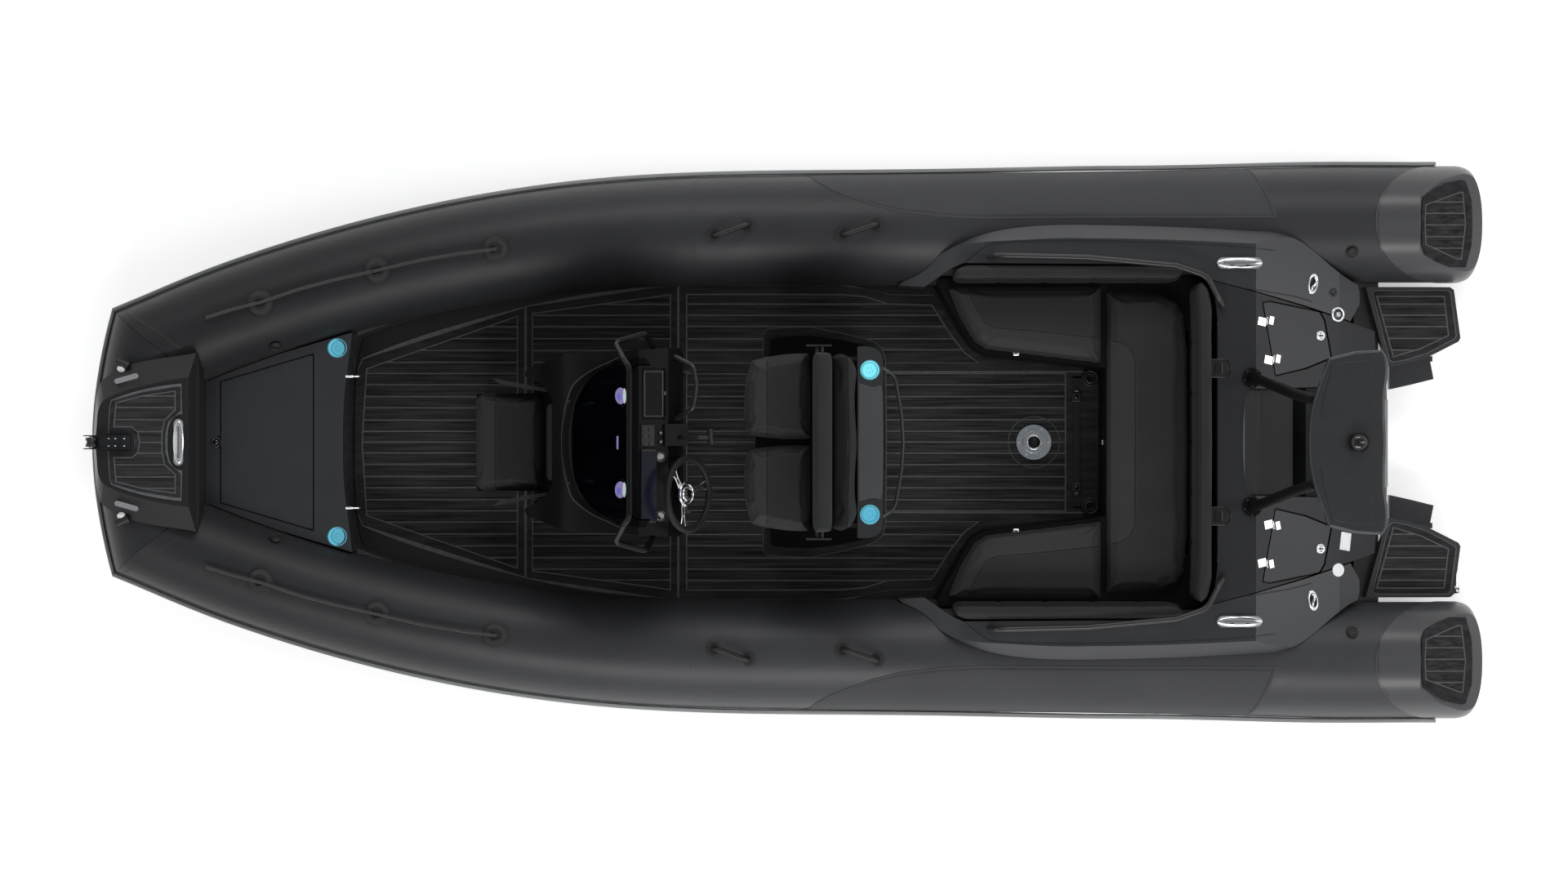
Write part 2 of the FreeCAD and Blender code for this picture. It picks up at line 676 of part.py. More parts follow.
# cockpit sole
SOLE_HALF = [("s", [(2044.0, 0.0), (2041.0, -200.0), (2027.0, -378.0), (2000.0, -489.0)]),
             ("s", [(2000.0, -489.0), (1600.0, -619.0), (1200.0, -689.0), (800.0, -739.0), (0.0, -792.0), (-1000.0, -800.0),
                    (-2680.0, -800.0)]),
             ("l", [(-2680.0, -800.0), (-2680.0, 0.0)])]
node(prism("deck", sym_mm(SOLE_HALF), "sole_bottom", "sole_thick"))

# foam deck covering
pad_ol = symmetric(66.0, ("l", [(434.5, 541.5), (435.5, 500), (437, 470), (439, 450), (443.5, 438.7)]),
                   ("s", [(443.5, 438.7), (520, 410), (580, 392), (642.7, 375.4), (720, 360), (801.6, 351), (850, 348.5)]),
                   ("l", [(1020, 348.8)]),
                   ("s", [(1020, 348.8), (1045, 350.5), (1068, 355.5), (1090, 360.5)]),
                   ("l", [(1143, 361)]),
                   ("s", [(1143, 361), (1157, 385), (1172, 411), (1190, 431), (1207, 438)]),
                   ("l", [(1320, 453), (1344, 458), (1344, 541.5)]))
node(prism("deck_pads", pad_ol, "pad_level", "pad_thick"))

# ---------------------------------------------------------------- bow
skirt = ("s", [(114, 541.5), (115.5, 510), (119.5, 478), (123, 468)])
platform_ol = symmetric(730.0, skirt, ("s", [(123, 468), (136, 458), (155, 448.5), (195, 439), (240, 432)]),
                        ("l", [(244, 452), (244, 541.5)]))
platform_low = prism("bow_platform_skirt", platform_ol, 605.0, 130.0)
platform_foot = prism("bow_platform_foot", symmetric(600.0, ("l", [(222, 541.5), (222, 468), (246, 464), (246, 541.5)])), 462.0, 273.0)
low = symmetric(735.0, skirt, ("s", [(123, 468), (136, 458), (155, 448.5), (195, 439), (240, 432)]), ("l", [(240, 541.5)]))
high = symmetric(800.0, ("s", [(117, 541.5), (118.5, 520), (121, 500), (127, 490)]),
                 ("s", [(127, 490), (145, 481), (170, 473.5), (200, 466.5), (231, 462)]), ("l", [(231, 541.5)]))


def flat_wire(ol, z):
    edges = []
    for kind, p in ol:
        if kind == "l" or len(p) < 3:
            for a, b in zip(p[:-1], p[1:]):
                if math.hypot(a[0] - b[0], a[1] - b[1]) > 1e-6:
                    edges.append(Part.LineSegment(V(a[0], a[1], z), V(b[0], b[1], z)).toShape())
        else:
            c = Part.BSplineCurve()
            c.interpolate([V(a[0], a[1], z) for a in p])
            edges.append(c.toShape())
    return Part.Wire(edges)


platform_top = free("bow_platform_top", Part.makeLoft([flat_wire(low, 735.0), flat_wire(high, 800.0)], True, True))
bp = fuse("bow_platform_blank", platform_low, platform_foot, platform_top)
node(cuts("bow_platform", bp, TUBE_ENL["port"], TUBE_ENL["starboard"], TUBE_ENL["bow"]))
bow_pad_ol = symmetric(806.0, ("l", [(164.6, 541.5), (164.2, 536), (160.5, 530.8), (131.8, 530.8), (133.8, 498), (136, 489.7)]),
                       ("s", [(136, 489.7), (161.5, 480.5), (190, 473.8), (222, 469.6)]),
                       ("l", [(223, 507)]), ("s", [(223, 507), (212, 512), (206.5, 523), (205, 541.5)]))
node(prism("bow_pad", bow_pad_ol, 800.0, "pad_thick"))

# anchor bracket: a channel with two cheeks and a fixed pin that carries the roller
ax0, ay0 = plan(160, 541.5, 800)
bx = 3155.0
ab_base = box("anchor_base", (ax0, -32.0, 800.0), (3150.0, 32.0, 806.0))
cheek = [(ax0, 806.0), (ax0 + 30, 838.0), (3120.0, 846.0), (3165.0, 846.0), (3178.0, 830.0), (3165.0, 806.0)]
cheek_p = side_profile("anchor_cheek_p", cheek, 5.0, 29.5)
cheek_s = side_profile("anchor_cheek_s", cheek, 5.0, -29.5)
ROLLER = (3142.0, 0.0, 834.0)
ab_pin = cylinder("anchor_pin", "roller_pin_r", 60.0, (ROLLER[0], -30.0, ROLLER[2]), (0, 1, 0))
ab_room = cylinder("anchor_roller_room", 29.0, 53.0, (ROLLER[0], -26.5, ROLLER[2]), (0, 1, 0))
ab = fuse("anchor_channel", cut("anchor_base_cut", ab_base, ab_room), cheek_p, cheek_s)
node(fuse("anchor_bracket", ab, ab_pin))
roll = cylinder("anchor_roller_drum", "roller_r", 42.0, (ROLLER[0], -21.0, ROLLER[2]), (0, 1, 0))
waist = doc.addObject("Part::Torus", "anchor_roller_waist")
bind(waist, "Radius1", 31.0, "roller_waist_big")
bind(waist, "Radius2", 12.0, "roller_waist_small")
waist.Placement = FreeCAD.Placement(V(*ROLLER), FreeCAD.Rotation(V(0, 0, 1), V(0, 1, 0)))
roll_bore = cylinder("anchor_roller_bore", "roller_bore_r", 60.0, (ROLLER[0], -30.0, ROLLER[2]), (0, 1, 0))
node(cuts("anchor_roller", roll, waist, roll_bore))


def slot_outline(cx, cy, half_len, half_wide, ang):
    # a rounded bar seen from above
    ca, sa = math.cos(ang), math.sin(ang)
    pts = []
    n = 8
    for i in range(n + 1):
        t = -math.pi / 2 + math.pi * i / n
        pts.append((half_len - half_wide + half_wide * math.cos(t), half_wide * math.sin(t)))
    for i in range(n + 1):
        t = math.pi / 2 + math.pi * i / n
        pts.append((-(half_len - half_wide) + half_wide * math.cos(t), half_wide * math.sin(t)))
    pts = [(cx + a * ca - b * sa, cy + a * sa + b * ca) for a, b in pts]
    return [("l", pts + [pts[0]])]


# chrome fairleads on the shoulder of the platform, bow and stern cleats
fl = []
for side_name, sg in SIDES.items():
    x, y = plan(155.5, 541.5 + sg * 78.0, 780.0)
    fl.append(prism("fairlead_" + side_name, slot_outline(x, y, 56.0, 12.0, math.atan2(-(sg) * 0.28, 1.0) + math.pi), 750.0, 45.0))
fair = cut("fairlead_pair", group("fairlead_raw", *fl), platform_top)
x, y = plan(219, 541.5, 800)
cl = [prism("cleat_bow", slot_outline(x, 0.0, 106.0, 22.0, math.pi / 2), 800.0, 14.0)]
for side_name, sg in SIDES.items():
    x, y = plan(1518, 541.5 + sg * 219.5, 640.0)
    cl.append(prism("cleat_stern_" + side_name, slot_outline(x, y, 104.0, 26.0, 0.0), 632.0, 12.0))
nl = []
for side_name, sg in SIDES.items():
    x, y = plan(149, 541.5 + sg * 90.5, 735.0)
    nl.append(cylinder("nav_light_" + side_name, 19.0, 60.0, (x - 30.0, y + 10 * sg, 742.0), (0.86, 0.42 * sg, 0.12)))
nlg = group("nav_lights_raw", *nl)
node(cuts("nav_lights_cut", nlg, TUBE_ENL["bow"], TUBE_ENL["port"], TUBE_ENL["starboard"],
          fuse("platform_for_lights", platform_low, platform_top)), "nav_lights")

# ---------------------------------------------------------------- bow locker
LK = 460.0
locker_blank = prism("bow_locker_blank", recess_ol, 331.5, LK - 331.5)
locker_in = box("bow_locker_inside", (2240.0, -215.0, 300.0), (2575.0, 215.0, 520.0))
lid_ol = symmetric(LK, ("l", [(271, 541.5), (271, 468), (378, 436), (383, 435.6), (383, 541.5)]))
lid_seat = prism("bow_locker_lid_seat", symmetric(LK, ("l", [(269.3, 541.5), (269.3, 466.6), (384.7, 432.1), (384.7, 541.5)])), 430.0, 60.0)
fx, fy = plan(262, 541.5, LK)
finger = cylinder("bow_locker_finger", 30.0, 60.0, (plan(270, 541.5, LK)[0] + 2.0, 0.0, 436.0))
cup_tools = []
for side_name, sg in SIDES.items():
    x, y = plan(411, 541.5 + sg * 115.0, LK)
    cup_tools.append(cylinder("bow_cup_" + side_name, "cup_r", 120.0, (x, y, LK - VAL["cup_depth"])))
# deeper floor under each cup holder so that its well has a bottom
locker = cuts("bow_locker", locker_blank, TUBE_ENL["port"], TUBE_ENL["starboard"], TUBE_ENL["bow"], locker_in, lid_seat,
              finger, cup_tools[0], cup_tools[1])
node(locker)
node(prism("bow_locker_lid", lid_ol, 436.0, 24.0))
eyes = []
for side_name, sg in SIDES.items():
    x, y = plan(427.5, 541.5 + sg * 80.5, 400.0)
    for k, dz in enumerate((0.0,)):
        eyes.append(pipe("eye_" + side_name, [(x - 14.0, y, 350.0), (x - 52.0, y, 350.0), (x - 52.0, y, 415.0), (x - 14.0, y, 415.0)], 5.0, 14.0))
eye_blank = group("pad_eyes_raw", *eyes)
node(group("cleats", fair, cut("pad_eyes", eye_blank, locker_blank), *cl))

# ---------------------------------------------------------------- tube fittings
def on_tube(px, hw, sg, lift):
    # a point on the upper surface of a side tube under grid point (px, 541.5 + sg * hw), and its normal
    z = 500.0
    for _ in range(8):
        x, y = plan(px, 541.5 + hw, z)
        yc, zc, sl = axis_at(x)
        r = tube_r(x) + VAL["tube_gap"] + lift
        d = (y - yc) / math.sqrt(1 + sl * sl)
        d = max(-r * 0.98, min(r * 0.98, d))
        z = zc + math.sqrt(r * r - d * d)
    n = V(-sl * (y - yc) / max(1.0, r) * 0.5, y - yc, z - zc).normalize()
    return V(x, y * sg, z), V(n.x, n.y * sg, n.z)


patches = []
valves = []
handles = []
for side_name, sg in SIDES.items():
    for i, (px, hw) in enumerate([(319, 170.5), (462, 210.5), (607, 236.5)]):
        p, n = on_tube(px, hw, sg, 0.0)
        patches.append(cylinder("rope_patch_%s%d" % (side_name, i), 57.0, 34.0, tuple(p - n * 24.0), tuple(n)))
    for i, (px, hw) in enumerate([(337, 117.0), (1656, 231.5)]):
        p, n = on_tube(px, hw, sg, 0.0)
        valves.append(cylinder("valve_%s%d" % (side_name, i), 27.0, 30.0, tuple(p - n * 22.0), tuple(n)))
    for i, (px0, hw0, px1, hw1) in enumerate([(873, 252.5, 917, 266.0), (1031, 254.0, 1075, 266.5)]):
        a, na = on_tube(px0, hw0, sg, 0.0)
        b, nb = on_tube(px1, hw1, sg, 0.0)
        t = (b - a).normalize()
        handles.append(pipe("handle_loop_%s%d" % (side_name, i),
                            [tuple(a - na * 8.0), tuple(a + na * 46.0 + t * 12.0), tuple(b + nb * 46.0 - t * 12.0), tuple(b - nb * 8.0)],
                            12.0, 30.0))
        for k, (c, n) in enumerate(((a, na), (b, nb))):
            handles.append(cylinder("handle_foot_%s%d%d" % (side_name, i, k), 30.0, 22.0, tuple(c - n * 16.0), tuple(n)))
hg = fuse("tube_handles_raw", *handles)
node(cuts("tube_handles", hg, TUBE_ENL["port"], TUBE_ENL["starboard"]))
node(cuts("tube_patches", group("tube_patches_raw", *(patches + valves)), TUBE_ENL["port"], TUBE_ENL["starboard"]))

# lifelines held along the tubes through the patches
lines = []
for side_name, sg in SIDES.items():
    route = []
    for px, hw in [(252, 152.5), (285, 163.0), (319, 171.5), (366, 187.5), (414, 200.0), (462, 210.5), (510, 222.0),
                   (559, 230.5), (607, 236.5)]:
        p, n = on_tube(px, hw, sg, 16.0 + VAL["rope_r"])
        route.append(tuple(p))
    first = V(*route[0])
    last = V(*route[-1])
    lines.append(pipe("lifeline_" + side_name, route, "rope_r", 900.0))
node(group("lifelines", *lines))

# ---------------------------------------------------------------- console
con_plan = symmetric(900.0, ("l", [(676, 541.5), (676, 492)]), ("s", [(676, 492), (668, 479), (655, 468), (640, 461)]),
                     ("s", [(640, 461), (637, 456), (643, 449), (654, 445), (691, 434.5), (752, 431), (800, 428), (837, 426)]),
                     ("l", [(837, 541.5)]))
con_tower = prism("console_plan", con_plan, 66.0, 1100.0)
con_side = side_profile("console_side", [("l", [(480.0, 66.0), (1240.0, 66.0), (1225.0, 560.0)]),
                                         ("s", [(1225.0, 560.0), (1195.0, 620.0), (1125.0, 690.0), (1050.0, 850.0), (1000.0, 975.0),
                                                (955.0, 1018.0), (850.0, 1043.0)]),
                                         ("l", [(650.0, 1050.0), (520.0, 985.0), (470.0, 895.0), (480.0, 66.0)])], 1000.0)
con_body = common("console_tower", con_tower, con_side)
seat_box = box("console_seat_box", (1030.0, -226.0, 66.0), (1425.0, 226.0, 485.0))
seat_room = box("console_seat_inside", (1125.0, -196.0, 110.0), (1397.0, 196.0, 500.0))
GS = math.atan2(65.0, 130.0)
gd = V(-math.cos(GS), 0, -math.sin(GS))
gn = V(-math.sin(GS), 0, math.cos(GS))


def slab(name, a, length, down, up, y0, y1):
    # a flat block lying on the sloping panel that starts at point a and falls aft
    p = [a + gn * up, a + gd * length + gn * up, a + gd * length - gn * down, a - gn * down]
    return side_profile(name, [(q.x, q.z) for q in p], y1 - y0, (y0 + y1) / 2.0)


GA = V(634.0, 0, 1042.0)
glove_seat = slab("glovebox_seat", GA, 112.0, 17.0, 60.0, -333.0, -102.0)
glove_room = slab("glovebox_inside", GA + gd * 12.0, 88.0, 110.0, 10.0, -320.0, -115.0)
GLID = GA + gd * 6.0
node(slab("glovebox_lid", GLID, 100.0, 12.0, 2.0, -327.0, -108.0))
console_all = fuse("console_whole", con_body, seat_box)
con_pillar_cut = cylinder("console_shaft_hole", 19.0, 60.0, (560.0, 233.0, 911.0), (-0.829, 0, 0.559))
console_cut = cuts("console_hollow", console_all, seat_room, glove_seat, glove_room)
wing = []
for side_name, sg in SIDES.items():
    w = [(603, 463.0), (640, 470.0), (679, 477.5), (679, 481.0), (645, 476.5), (612, 470.0)]
    ol = outline(600.0, ("l", [(a, 541.5 + sg * (541.5 - b)) for a, b in w]))
    wing.append(prism("side_blade_" + side_name, ol, 500.0, 115.0))
blades = group("side_blades_raw", *wing)
node(cut("side_blades", blades, con_tower), "side_blades")

# windscreen: a thin curved panel leaning aft over the dash, and its rail
def wind_wire(pts, z, t):
    mm = [plan(a, b, z) for a, b in pts]
    full = mm + [(x, -y) for x, y in reversed(mm[:-1])]
    n = len(full)
    inner = []
    for i, (x, y) in enumerate(full):
        a = full[max(0, i - 1)]
        b = full[min(n - 1, i + 1)]
        tx, ty = b[0] - a[0], b[1] - a[1]
        l = math.hypot(tx, ty)
        inner.append((x - ty / l * t, y + tx / l * t))
    c1 = Part.BSplineCurve()
    c1.interpolate([V(x, y, z) for x, y in full])
    c2 = Part.BSplineCurve()
    c2.interpolate([V(x, y, z) for x, y in inner])
    return Part.Wire([c1.toShape(), Part.LineSegment(V(*full[-1], z), V(*inner[-1], z)).toShape(), c2.toShape(),
                      Part.LineSegment(V(*inner[0], z), V(*full[0], z)).toShape()])


W0 = [(790, 436.5), (765, 438.5), (745, 443.5), (712.6, 460.6), (697, 482), (691, 510), (690, 541.5)]
W1 = [(796, 446.0), (785, 446.0), (775, 449.0), (771.5, 462), (771.5, 485), (772, 512), (772.5, 541.5)]
wd = (plan(690, 541.5, 985.0)[0], plan(790, 436.5, 985.0))
wind_blank = free("windshield_blank", Part.makeLoft([wind_wire(W0, 960.0, 6.0), wind_wire(W1, 1450.0, 6.0)], True, True))
node(cut("windshield", wind_blank, con_side))
rail_mid = [(797, 441.0, 1330.0), (766, 441.5, 1440.0), (771.5, 455.0, 1466.0), (772.5, 541.5, 1466.0)]
rp = [plan(a, b, z) + (z,) for a, b, z in [(771.5, 452.0, 1466.0), (772.5, 500.0, 1466.0)]]
top_rail = [plan(764.5, 441.0, 1420.0) + (1420.0,), plan(770.5, 450.0, 1466.0) + (1466.0,), plan(773.0, 541.5, 1466.0) + (1466.0,)]
top_full = [top_rail[0], top_rail[1], (top_rail[1][0], -top_rail[1][1], 1466.0), (top_rail[0][0], -top_rail[0][1], 1420.0)]
rails = [pipe("rail_top", top_full, "rail_r", 40.0)]
for side_name, sg in SIDES.items():
    q = [(764.5, 441.0, 1420.0), (753.0, 419.0, 1240.0), (790.0, 408.5, 1190.0), (799.0, 423.0, 1000.0)]
    loop = []
    for a, b, z in q:
        x, y = plan(a, 541.5 + sg * (541.5 - b), z)
        loop.append((x, y, z))
    loop.append((loop[-1][0] + 4.0, loop[-1][1] - sg * 60.0, 930.0))
    rails.append(pipe("rail_loop_" + side_name, loop, "rail_r", 45.0))
rail_raw = fuse("windshield_rail_raw", *rails)
node(cut("windshield_rail_c", rail_raw, fuse("rail_room", con_body, wind_blank)), "windshield_rail")
gr = [plan(837, 436, 985) + (930.0,), plan(849, 448, 985) + (985.0,), plan(853, 471.5, 985) + (990.0,), plan(849, 500, 985) + (985.0,),
      plan(838, 513, 985) + (925.0,)]
gr = [(gr[0][0] + 40.0, gr[0][1], gr[0][2])] + gr[1:-1] + [(gr[-1][0] + 40.0, gr[-1][1], gr[-1][2])]
gr_raw = pipe("grab_handle_raw", gr, 10.0, 40.0)
node(cut("grab_handle", gr_raw, con_side))

# steering wheel on its shaft, tilted 56 degrees from level
WC = V(430.0, 233.0, 985.0)
WN = V(-0.829, 0.0, 0.559)
WN = WN.normalize()
rim = doc.addObject("Part::Torus", "wheel_rim")
rim.setExpression("Radius1", "dims.wheel_r")
rim.setExpression("Radius2", "dims.wheel_rim_r")
rim.Placement = FreeCAD.Placement(WC, FreeCAD.Rotation(V(0, 0, 1), WN))
hub = cylinder("wheel_hub", 34.0, 34.0, tuple(WC - WN * 40.0), tuple(WN))
bits = [rim, hub]
wx = V(0, 1, 0)
wy = WN.cross(wx)
for k, a in enumerate((0.0, 180.0, 270.0, 225.0, 315.0)):
    if k > 2:
        continue
    d = wx * math.cos(math.radians(a)) + wy * math.sin(math.radians(a))
    s0 = WC - WN * 24.0 + d * 20.0
    s1 = WC + d * (VAL["wheel_r"] - 2.0)
    e = s1 - s0
    bits.append(cylinder("wheel_spoke%d" % k, 9.0, e.Length, tuple(s0), tuple(e)))
shaft = cylinder("wheel_shaft", 13.0, 28.0, tuple(WC - WN * 66.0), tuple(WN))
node(fuse("steering_wheel", *(bits + [shaft])))
boss_raw = cylinder("helm_boss_raw", 36.0, 60.0, tuple(WC - WN * 128.0), tuple(WN))
throttle_box = box("throttle_box", (0, 0, 0), (104.0, 98.0, 60.0))
throttle_box.Placement = FreeCAD.Placement(V(536.0, -82.0, 960.0), FreeCAD.Rotation(V(0, 1, 0), 0))
tb = soften_box = throttle_box
throttle_box.Placement = FreeCAD.Placement(V(430.0, -82.0, 950.0), FreeCAD.Rotation())
lever = pipe("throttle_lever", [(480.0, -22.0, 990.0), (452.0, -22.0, 1040.0), (380.0, -22.0, 1072.0), (318.0, -22.0, 1062.0)], 9.0, 30.0)
knob = pipe("throttle_knob", [(330.0, -60.0, 1063.0), (326.0, 10.0, 1063.0)], 14.0, 10.0)
thr = fuse("throttle_raw", throttle_box, lever, knob)
node(cut("throttle", thr, con_side))
node(fuse("console", console_cut, cut("helm_boss", boss_raw, con_side)))

# ---------------------------------------------------------------- helm seat
hs_ol = symmetric(950.0, ("l", [(1050, 541.5), (1050, 424.5)]), ("s", [(1050, 424.5), (1060, 424), (1074, 428), (1081, 444)]), ("l", [(1082, 541.5)]))
shelf_blank = prism("helm_shelf_blank", hs_ol, 812.0, 138.0)
cup2 = []
for side_name, sg in SIDES.items():
    x, y = plan(1065.2, 541.5 + sg * 88.5, 950.0)
    cup2.append(cylinder("helm_cup_" + side_name, "cup_r", 160.0, (x, y, 950.0 - VAL["cup_depth"])))
node(cuts("helm_shelf", shelf_blank, cup2[0], cup2[1]))
arms = []
for side_name, sg in SIDES.items():
    x0, y0 = plan(987, 541.5 + sg * 117.0, 900.0)
    x1, y1 = plan(1013, 541.5 + sg * 117.0, 900.0)
    arm = box("seat_arm_" + side_name, (-214.0, min(y0, y0 + 8 * sg), 768.0), (x0, max(y0, y0 + 8 * sg), 960.0))
    low_pin = cylinder("seat_arm_low_pin_" + side_name, 9.0, 44.0, (-150.0, 390.6 * sg, 788.0), (0, sg, 0))
    top_pin = cylinder("seat_arm_top_pin_" + side_name, 9.0, 27.0, (-172.0, 407.6 * sg, 905.0), (0, sg, 0))
    arms.append(fuse("seat_arm_whole_" + side_name, arm, low_pin, top_pin))
rr = [(1078, 449, 870), (1095.5, 459, 850), (1104, 508, 850), (1106, 541.5, 850)]
rr = [plan(a, b, z) + (z,) for a, b, z in rr]
rr = rr[:-1] + [rr[-1]] + [(x, -y, z) for x, y, z in reversed(rr[:-1])]
node(group("helm_rail", cut("helm_hoop", pipe("helm_rail_raw", rr, 8.0, 120.0), shelf_blank), *arms))

# ---------------------------------------------------------------- aft bench
bench_outer = symmetric(300.0, ("l", [(1351, 541.5), (1351, 452), (1335, 448), (1208, 433)]),
                        ("s", [(1208, 433), (1192, 425), (1174, 398), (1152, 360), (1147, 350)]),
                        ("l", [(1147, 342), (1440, 341)]), ("s", [(1440, 341), (1466, 347), (1476, 362), (1479, 392)]),
                        ("l", [(1479, 541.5)]))
bench_blank = prism("bench_blank", bench_outer, 60.0, SEAT - 60.0)
bench_cav = []
for side_name, sg in SIDES.items():
    ol = outline(300.0, ("l", [(1196, 541.5 + sg * 186), (1335, 541.5 + sg * 183), (1335, 541.5 + sg * 106), (1222, 541.5 + sg * 118)]))
    bench_cav.append(prism("bench_inside_" + side_name, ol, 95.0, 500.0))
bench_cav.append(box("bench_inside_aft", (plan(1452, 0, 300)[0], -520.0, 95.0), (plan(1368, 0, 300)[0], 520.0, 600.0)))
bench_end = box("bench_end", (-2400.0, -1000.0, 0.0), (-1966.5, 1000.0, 800.0))
node(cuts("bench_base", bench_blank, TUBE_ENL["port"], TUBE_ENL["starboard"], bench_end, *bench_cav))
# ---------------------------------------------------------------- aft coamings and stern deck
def px_x(px, z):
    return plan(px, 541.5, z)[0]


TOP = [("l", [(px_x(1096, 250), 60.0), (px_x(1096, 250), 300.0)]),
       ("s", [(px_x(1096, 300), 300.0), (px_x(1130, 440), 440.0), (px_x(1170, 555), 555.0), (px_x(1215, 612), 612.0),
              (px_x(1260, 628), 628.0), (px_x(1330, 632), 632.0)]),
       ("l", [(px_x(1538, 632), 632.0), (px_x(1640, 455), 455.0), (px_x(1690, 285), 285.0), (px_x(1696, 265), 60.0)])]
co_side = side_profile("coaming_side", TOP, 2200.0)
OUT = [(1102, 347), (1130, 324), (1166, 303), (1197, 289), (1227, 281.5), (1340, 275.5), (1466, 279), (1541, 283)]
OUT2 = [(1541, 283), (1571, 287), (1594, 296), (1616, 311), (1639, 329), (1670, 346)]
LIP = [(1118, 349), (1142, 334), (1170, 317), (1200, 304), (1230, 298.5), (1340, 293.5), (1466, 296.5), (1541, 300)]
LIP2 = [(1541, 300), (1565, 303), (1582, 309), (1604, 323), (1630, 340), (1662, 356)]
INN = [(1676, 366), (1660, 392), (1600, 374), (1482, 343.5), (1466, 330), (1440, 323.5), (1180, 322), (1166, 328), (1133, 350)]


def co_outline(z, o1, o2, sg):
    f = lambda q: [(a, 541.5 + sg * (541.5 - b)) for a, b in q]
    return outline(z, ("s", f(o1)), ("s", f(o2)), ("l", f([o2[-1]] + INN)))


for side_name, sg in SIDES.items():
    base = prism("coaming_wall_" + side_name, co_outline(555.0, OUT, OUT2, sg), 125.0, 430.0)
    lo_w = flat_wire(co_outline(555.0, OUT, OUT2, sg), 555.0)
    f = lambda q: [(a, 541.5 + sg * (541.5 - b)) for a, b in q]
    inn2 = [(a, b - 1.6) if a > 1470 else (a, b) for a, b in INN]
    hi_w = flat_wire(outline(640.0, ("s", f(LIP)), ("s", f(LIP2)), ("l", f([LIP2[-1]] + inn2))), 640.0)
    lip = free("coaming_lip_" + side_name, Part.makeLoft([lo_w, hi_w], True, True))
    cb = common("coaming_shape_" + side_name, fuse("coaming_full_" + side_name, base, lip), co_side)
    tail = box("coaming_tail_" + side_name, (-2900.0, -1300.0, 0.0), (-2687.0, 1300.0, 800.0))
    node(cuts("coaming_" + side_name, cb, TUBE_ENL[side_name], tail))

sd_ol = symmetric(500.0, ("l", [(1486.5, 541.5), (1486.5, 392), (1484, 370), (1480.5, 345.5)]),
                  ("l", [(1598, 376.5), (1660, 395), (1692, 404), (1694, 446), (1700, 480), (1700, 541.5)]))
sd_plan = prism("stern_deck_plan", sd_ol, 60.0, 620.0)
sd_side = side_profile("stern_deck_side", [(px_x(1478, 632), 61.0), (px_x(1478, 632), 632.0), (px_x(1538, 632), 632.0),
                                           (px_x(1640, 455), 455.0), (-2690.0, 369.0), (-2690.0, 61.0)], 1700.0)
sd_side2 = side_profile("stern_deck_tail", [(px_x(1640, 455), 300.0), (px_x(1640, 455), 455.0), (px_x(1690, 285), 285.0),
                                            (px_x(1697, 264), 264.0), (px_x(1697, 264), 262.0 + 2.0), (-2700.0, 264.0)], 1700.0)
sd_full = common("stern_deck_full", fuse("stern_deck_sides", sd_side, sd_side2), sd_plan)
channel = prism("stern_channel", symmetric(628.0, ("s", [(1521.5, 541.5), (1523, 500), (1527, 482), (1532, 476)]),
                                           ("l", [(1720, 470), (1720, 541.5)])), 50.0, 900.0)
SL = V(px_x(1640, 455) - px_x(1538, 632), 0, 455.0 - 632.0)
SLL = SL.Length
SD = V(SL).normalize()
SN = V(-SD.z, 0, SD.x)
if SN.z < 0:
    SN = -SN
SA = V(px_x(1538, 632), 0, 632.0)


def slope_slab(name, down, up, start=-60.0, end=480.0):
    # a layer parallel to the sloping part of the stern deck
    p = [SA + SD * start + SN * up, SA + SD * end + SN * up, SA + SD * end - SN * down, SA + SD * start - SN * down]
    return side_profile(name, [(q.x, q.z) for q in p], 1800.0)


LID = [(1545, 372), (1553, 370.5), (1618, 382), (1624, 392), (1633, 437), (1600, 450), (1561, 459)]
LID_REC = [(1543, 370), (1553, 368.5), (1619.5, 380), (1626, 391), (1635.5, 438.5), (1601, 452), (1560, 461.3)]
LID_IN = [(1556, 381), (1612, 390), (1622, 433), (1600, 441), (1567, 449)]
sd_tools = [channel]
for side_name, sg in SIDES.items():
    rec = common("stern_lid_seat_" + side_name, slope_slab("stern_lid_seat_slab_" + side_name, 30.0, 60.0),
                 prism("stern_lid_seat_plan_" + side_name, outline(560.0, ("l", [(a, 541.5 + sg * (541.5 - b)) for a, b in LID_REC])), 300.0, 500.0))
    inside = prism("stern_locker_inside_" + side_name, outline(500.0, ("l", [(a, 541.5 + sg * (541.5 - b)) for a, b in LID_IN])), 110.0, 560.0)
    sd_tools += [rec, inside]
    node(common("stern_lid_" + side_name, slope_slab("stern_lid_slab_" + side_name, 24.0, 0.5),
                prism("stern_lid_plan_" + side_name, outline(560.0, ("l", [(a, 541.5 + sg * (541.5 - b)) for a, b in LID])), 300.0, 500.0)))
node(cuts("stern_deck", sd_full, *sd_tools))

# splash well in front of the transom
sw_side = side_profile("splash_side", [(px_x(1520, 628), 61.0), (px_x(1520, 628), 631.0), (px_x(1524, 628), 628.0), (px_x(1543, 185), 185.0),
                                       (px_x(1583, 175), 175.0), (px_x(1599, 268), 268.0), (px_x(1654, 280), 280.0), (-2676.0, 306.0),
                                       (-2688.0, 309.0), (-2688.0, 61.0)], 700.0)
sw_plan = prism("splash_plan", symmetric(628.0, ("s", [(1522.0, 541.5), (1523.5, 500.6), (1527.5, 482.6), (1532.5, 476.6)]),
                                         ("l", [(1720, 470.6), (1720, 541.5)])), 60.0, 900.0)
node(common("splash_well", sw_side, sw_plan))

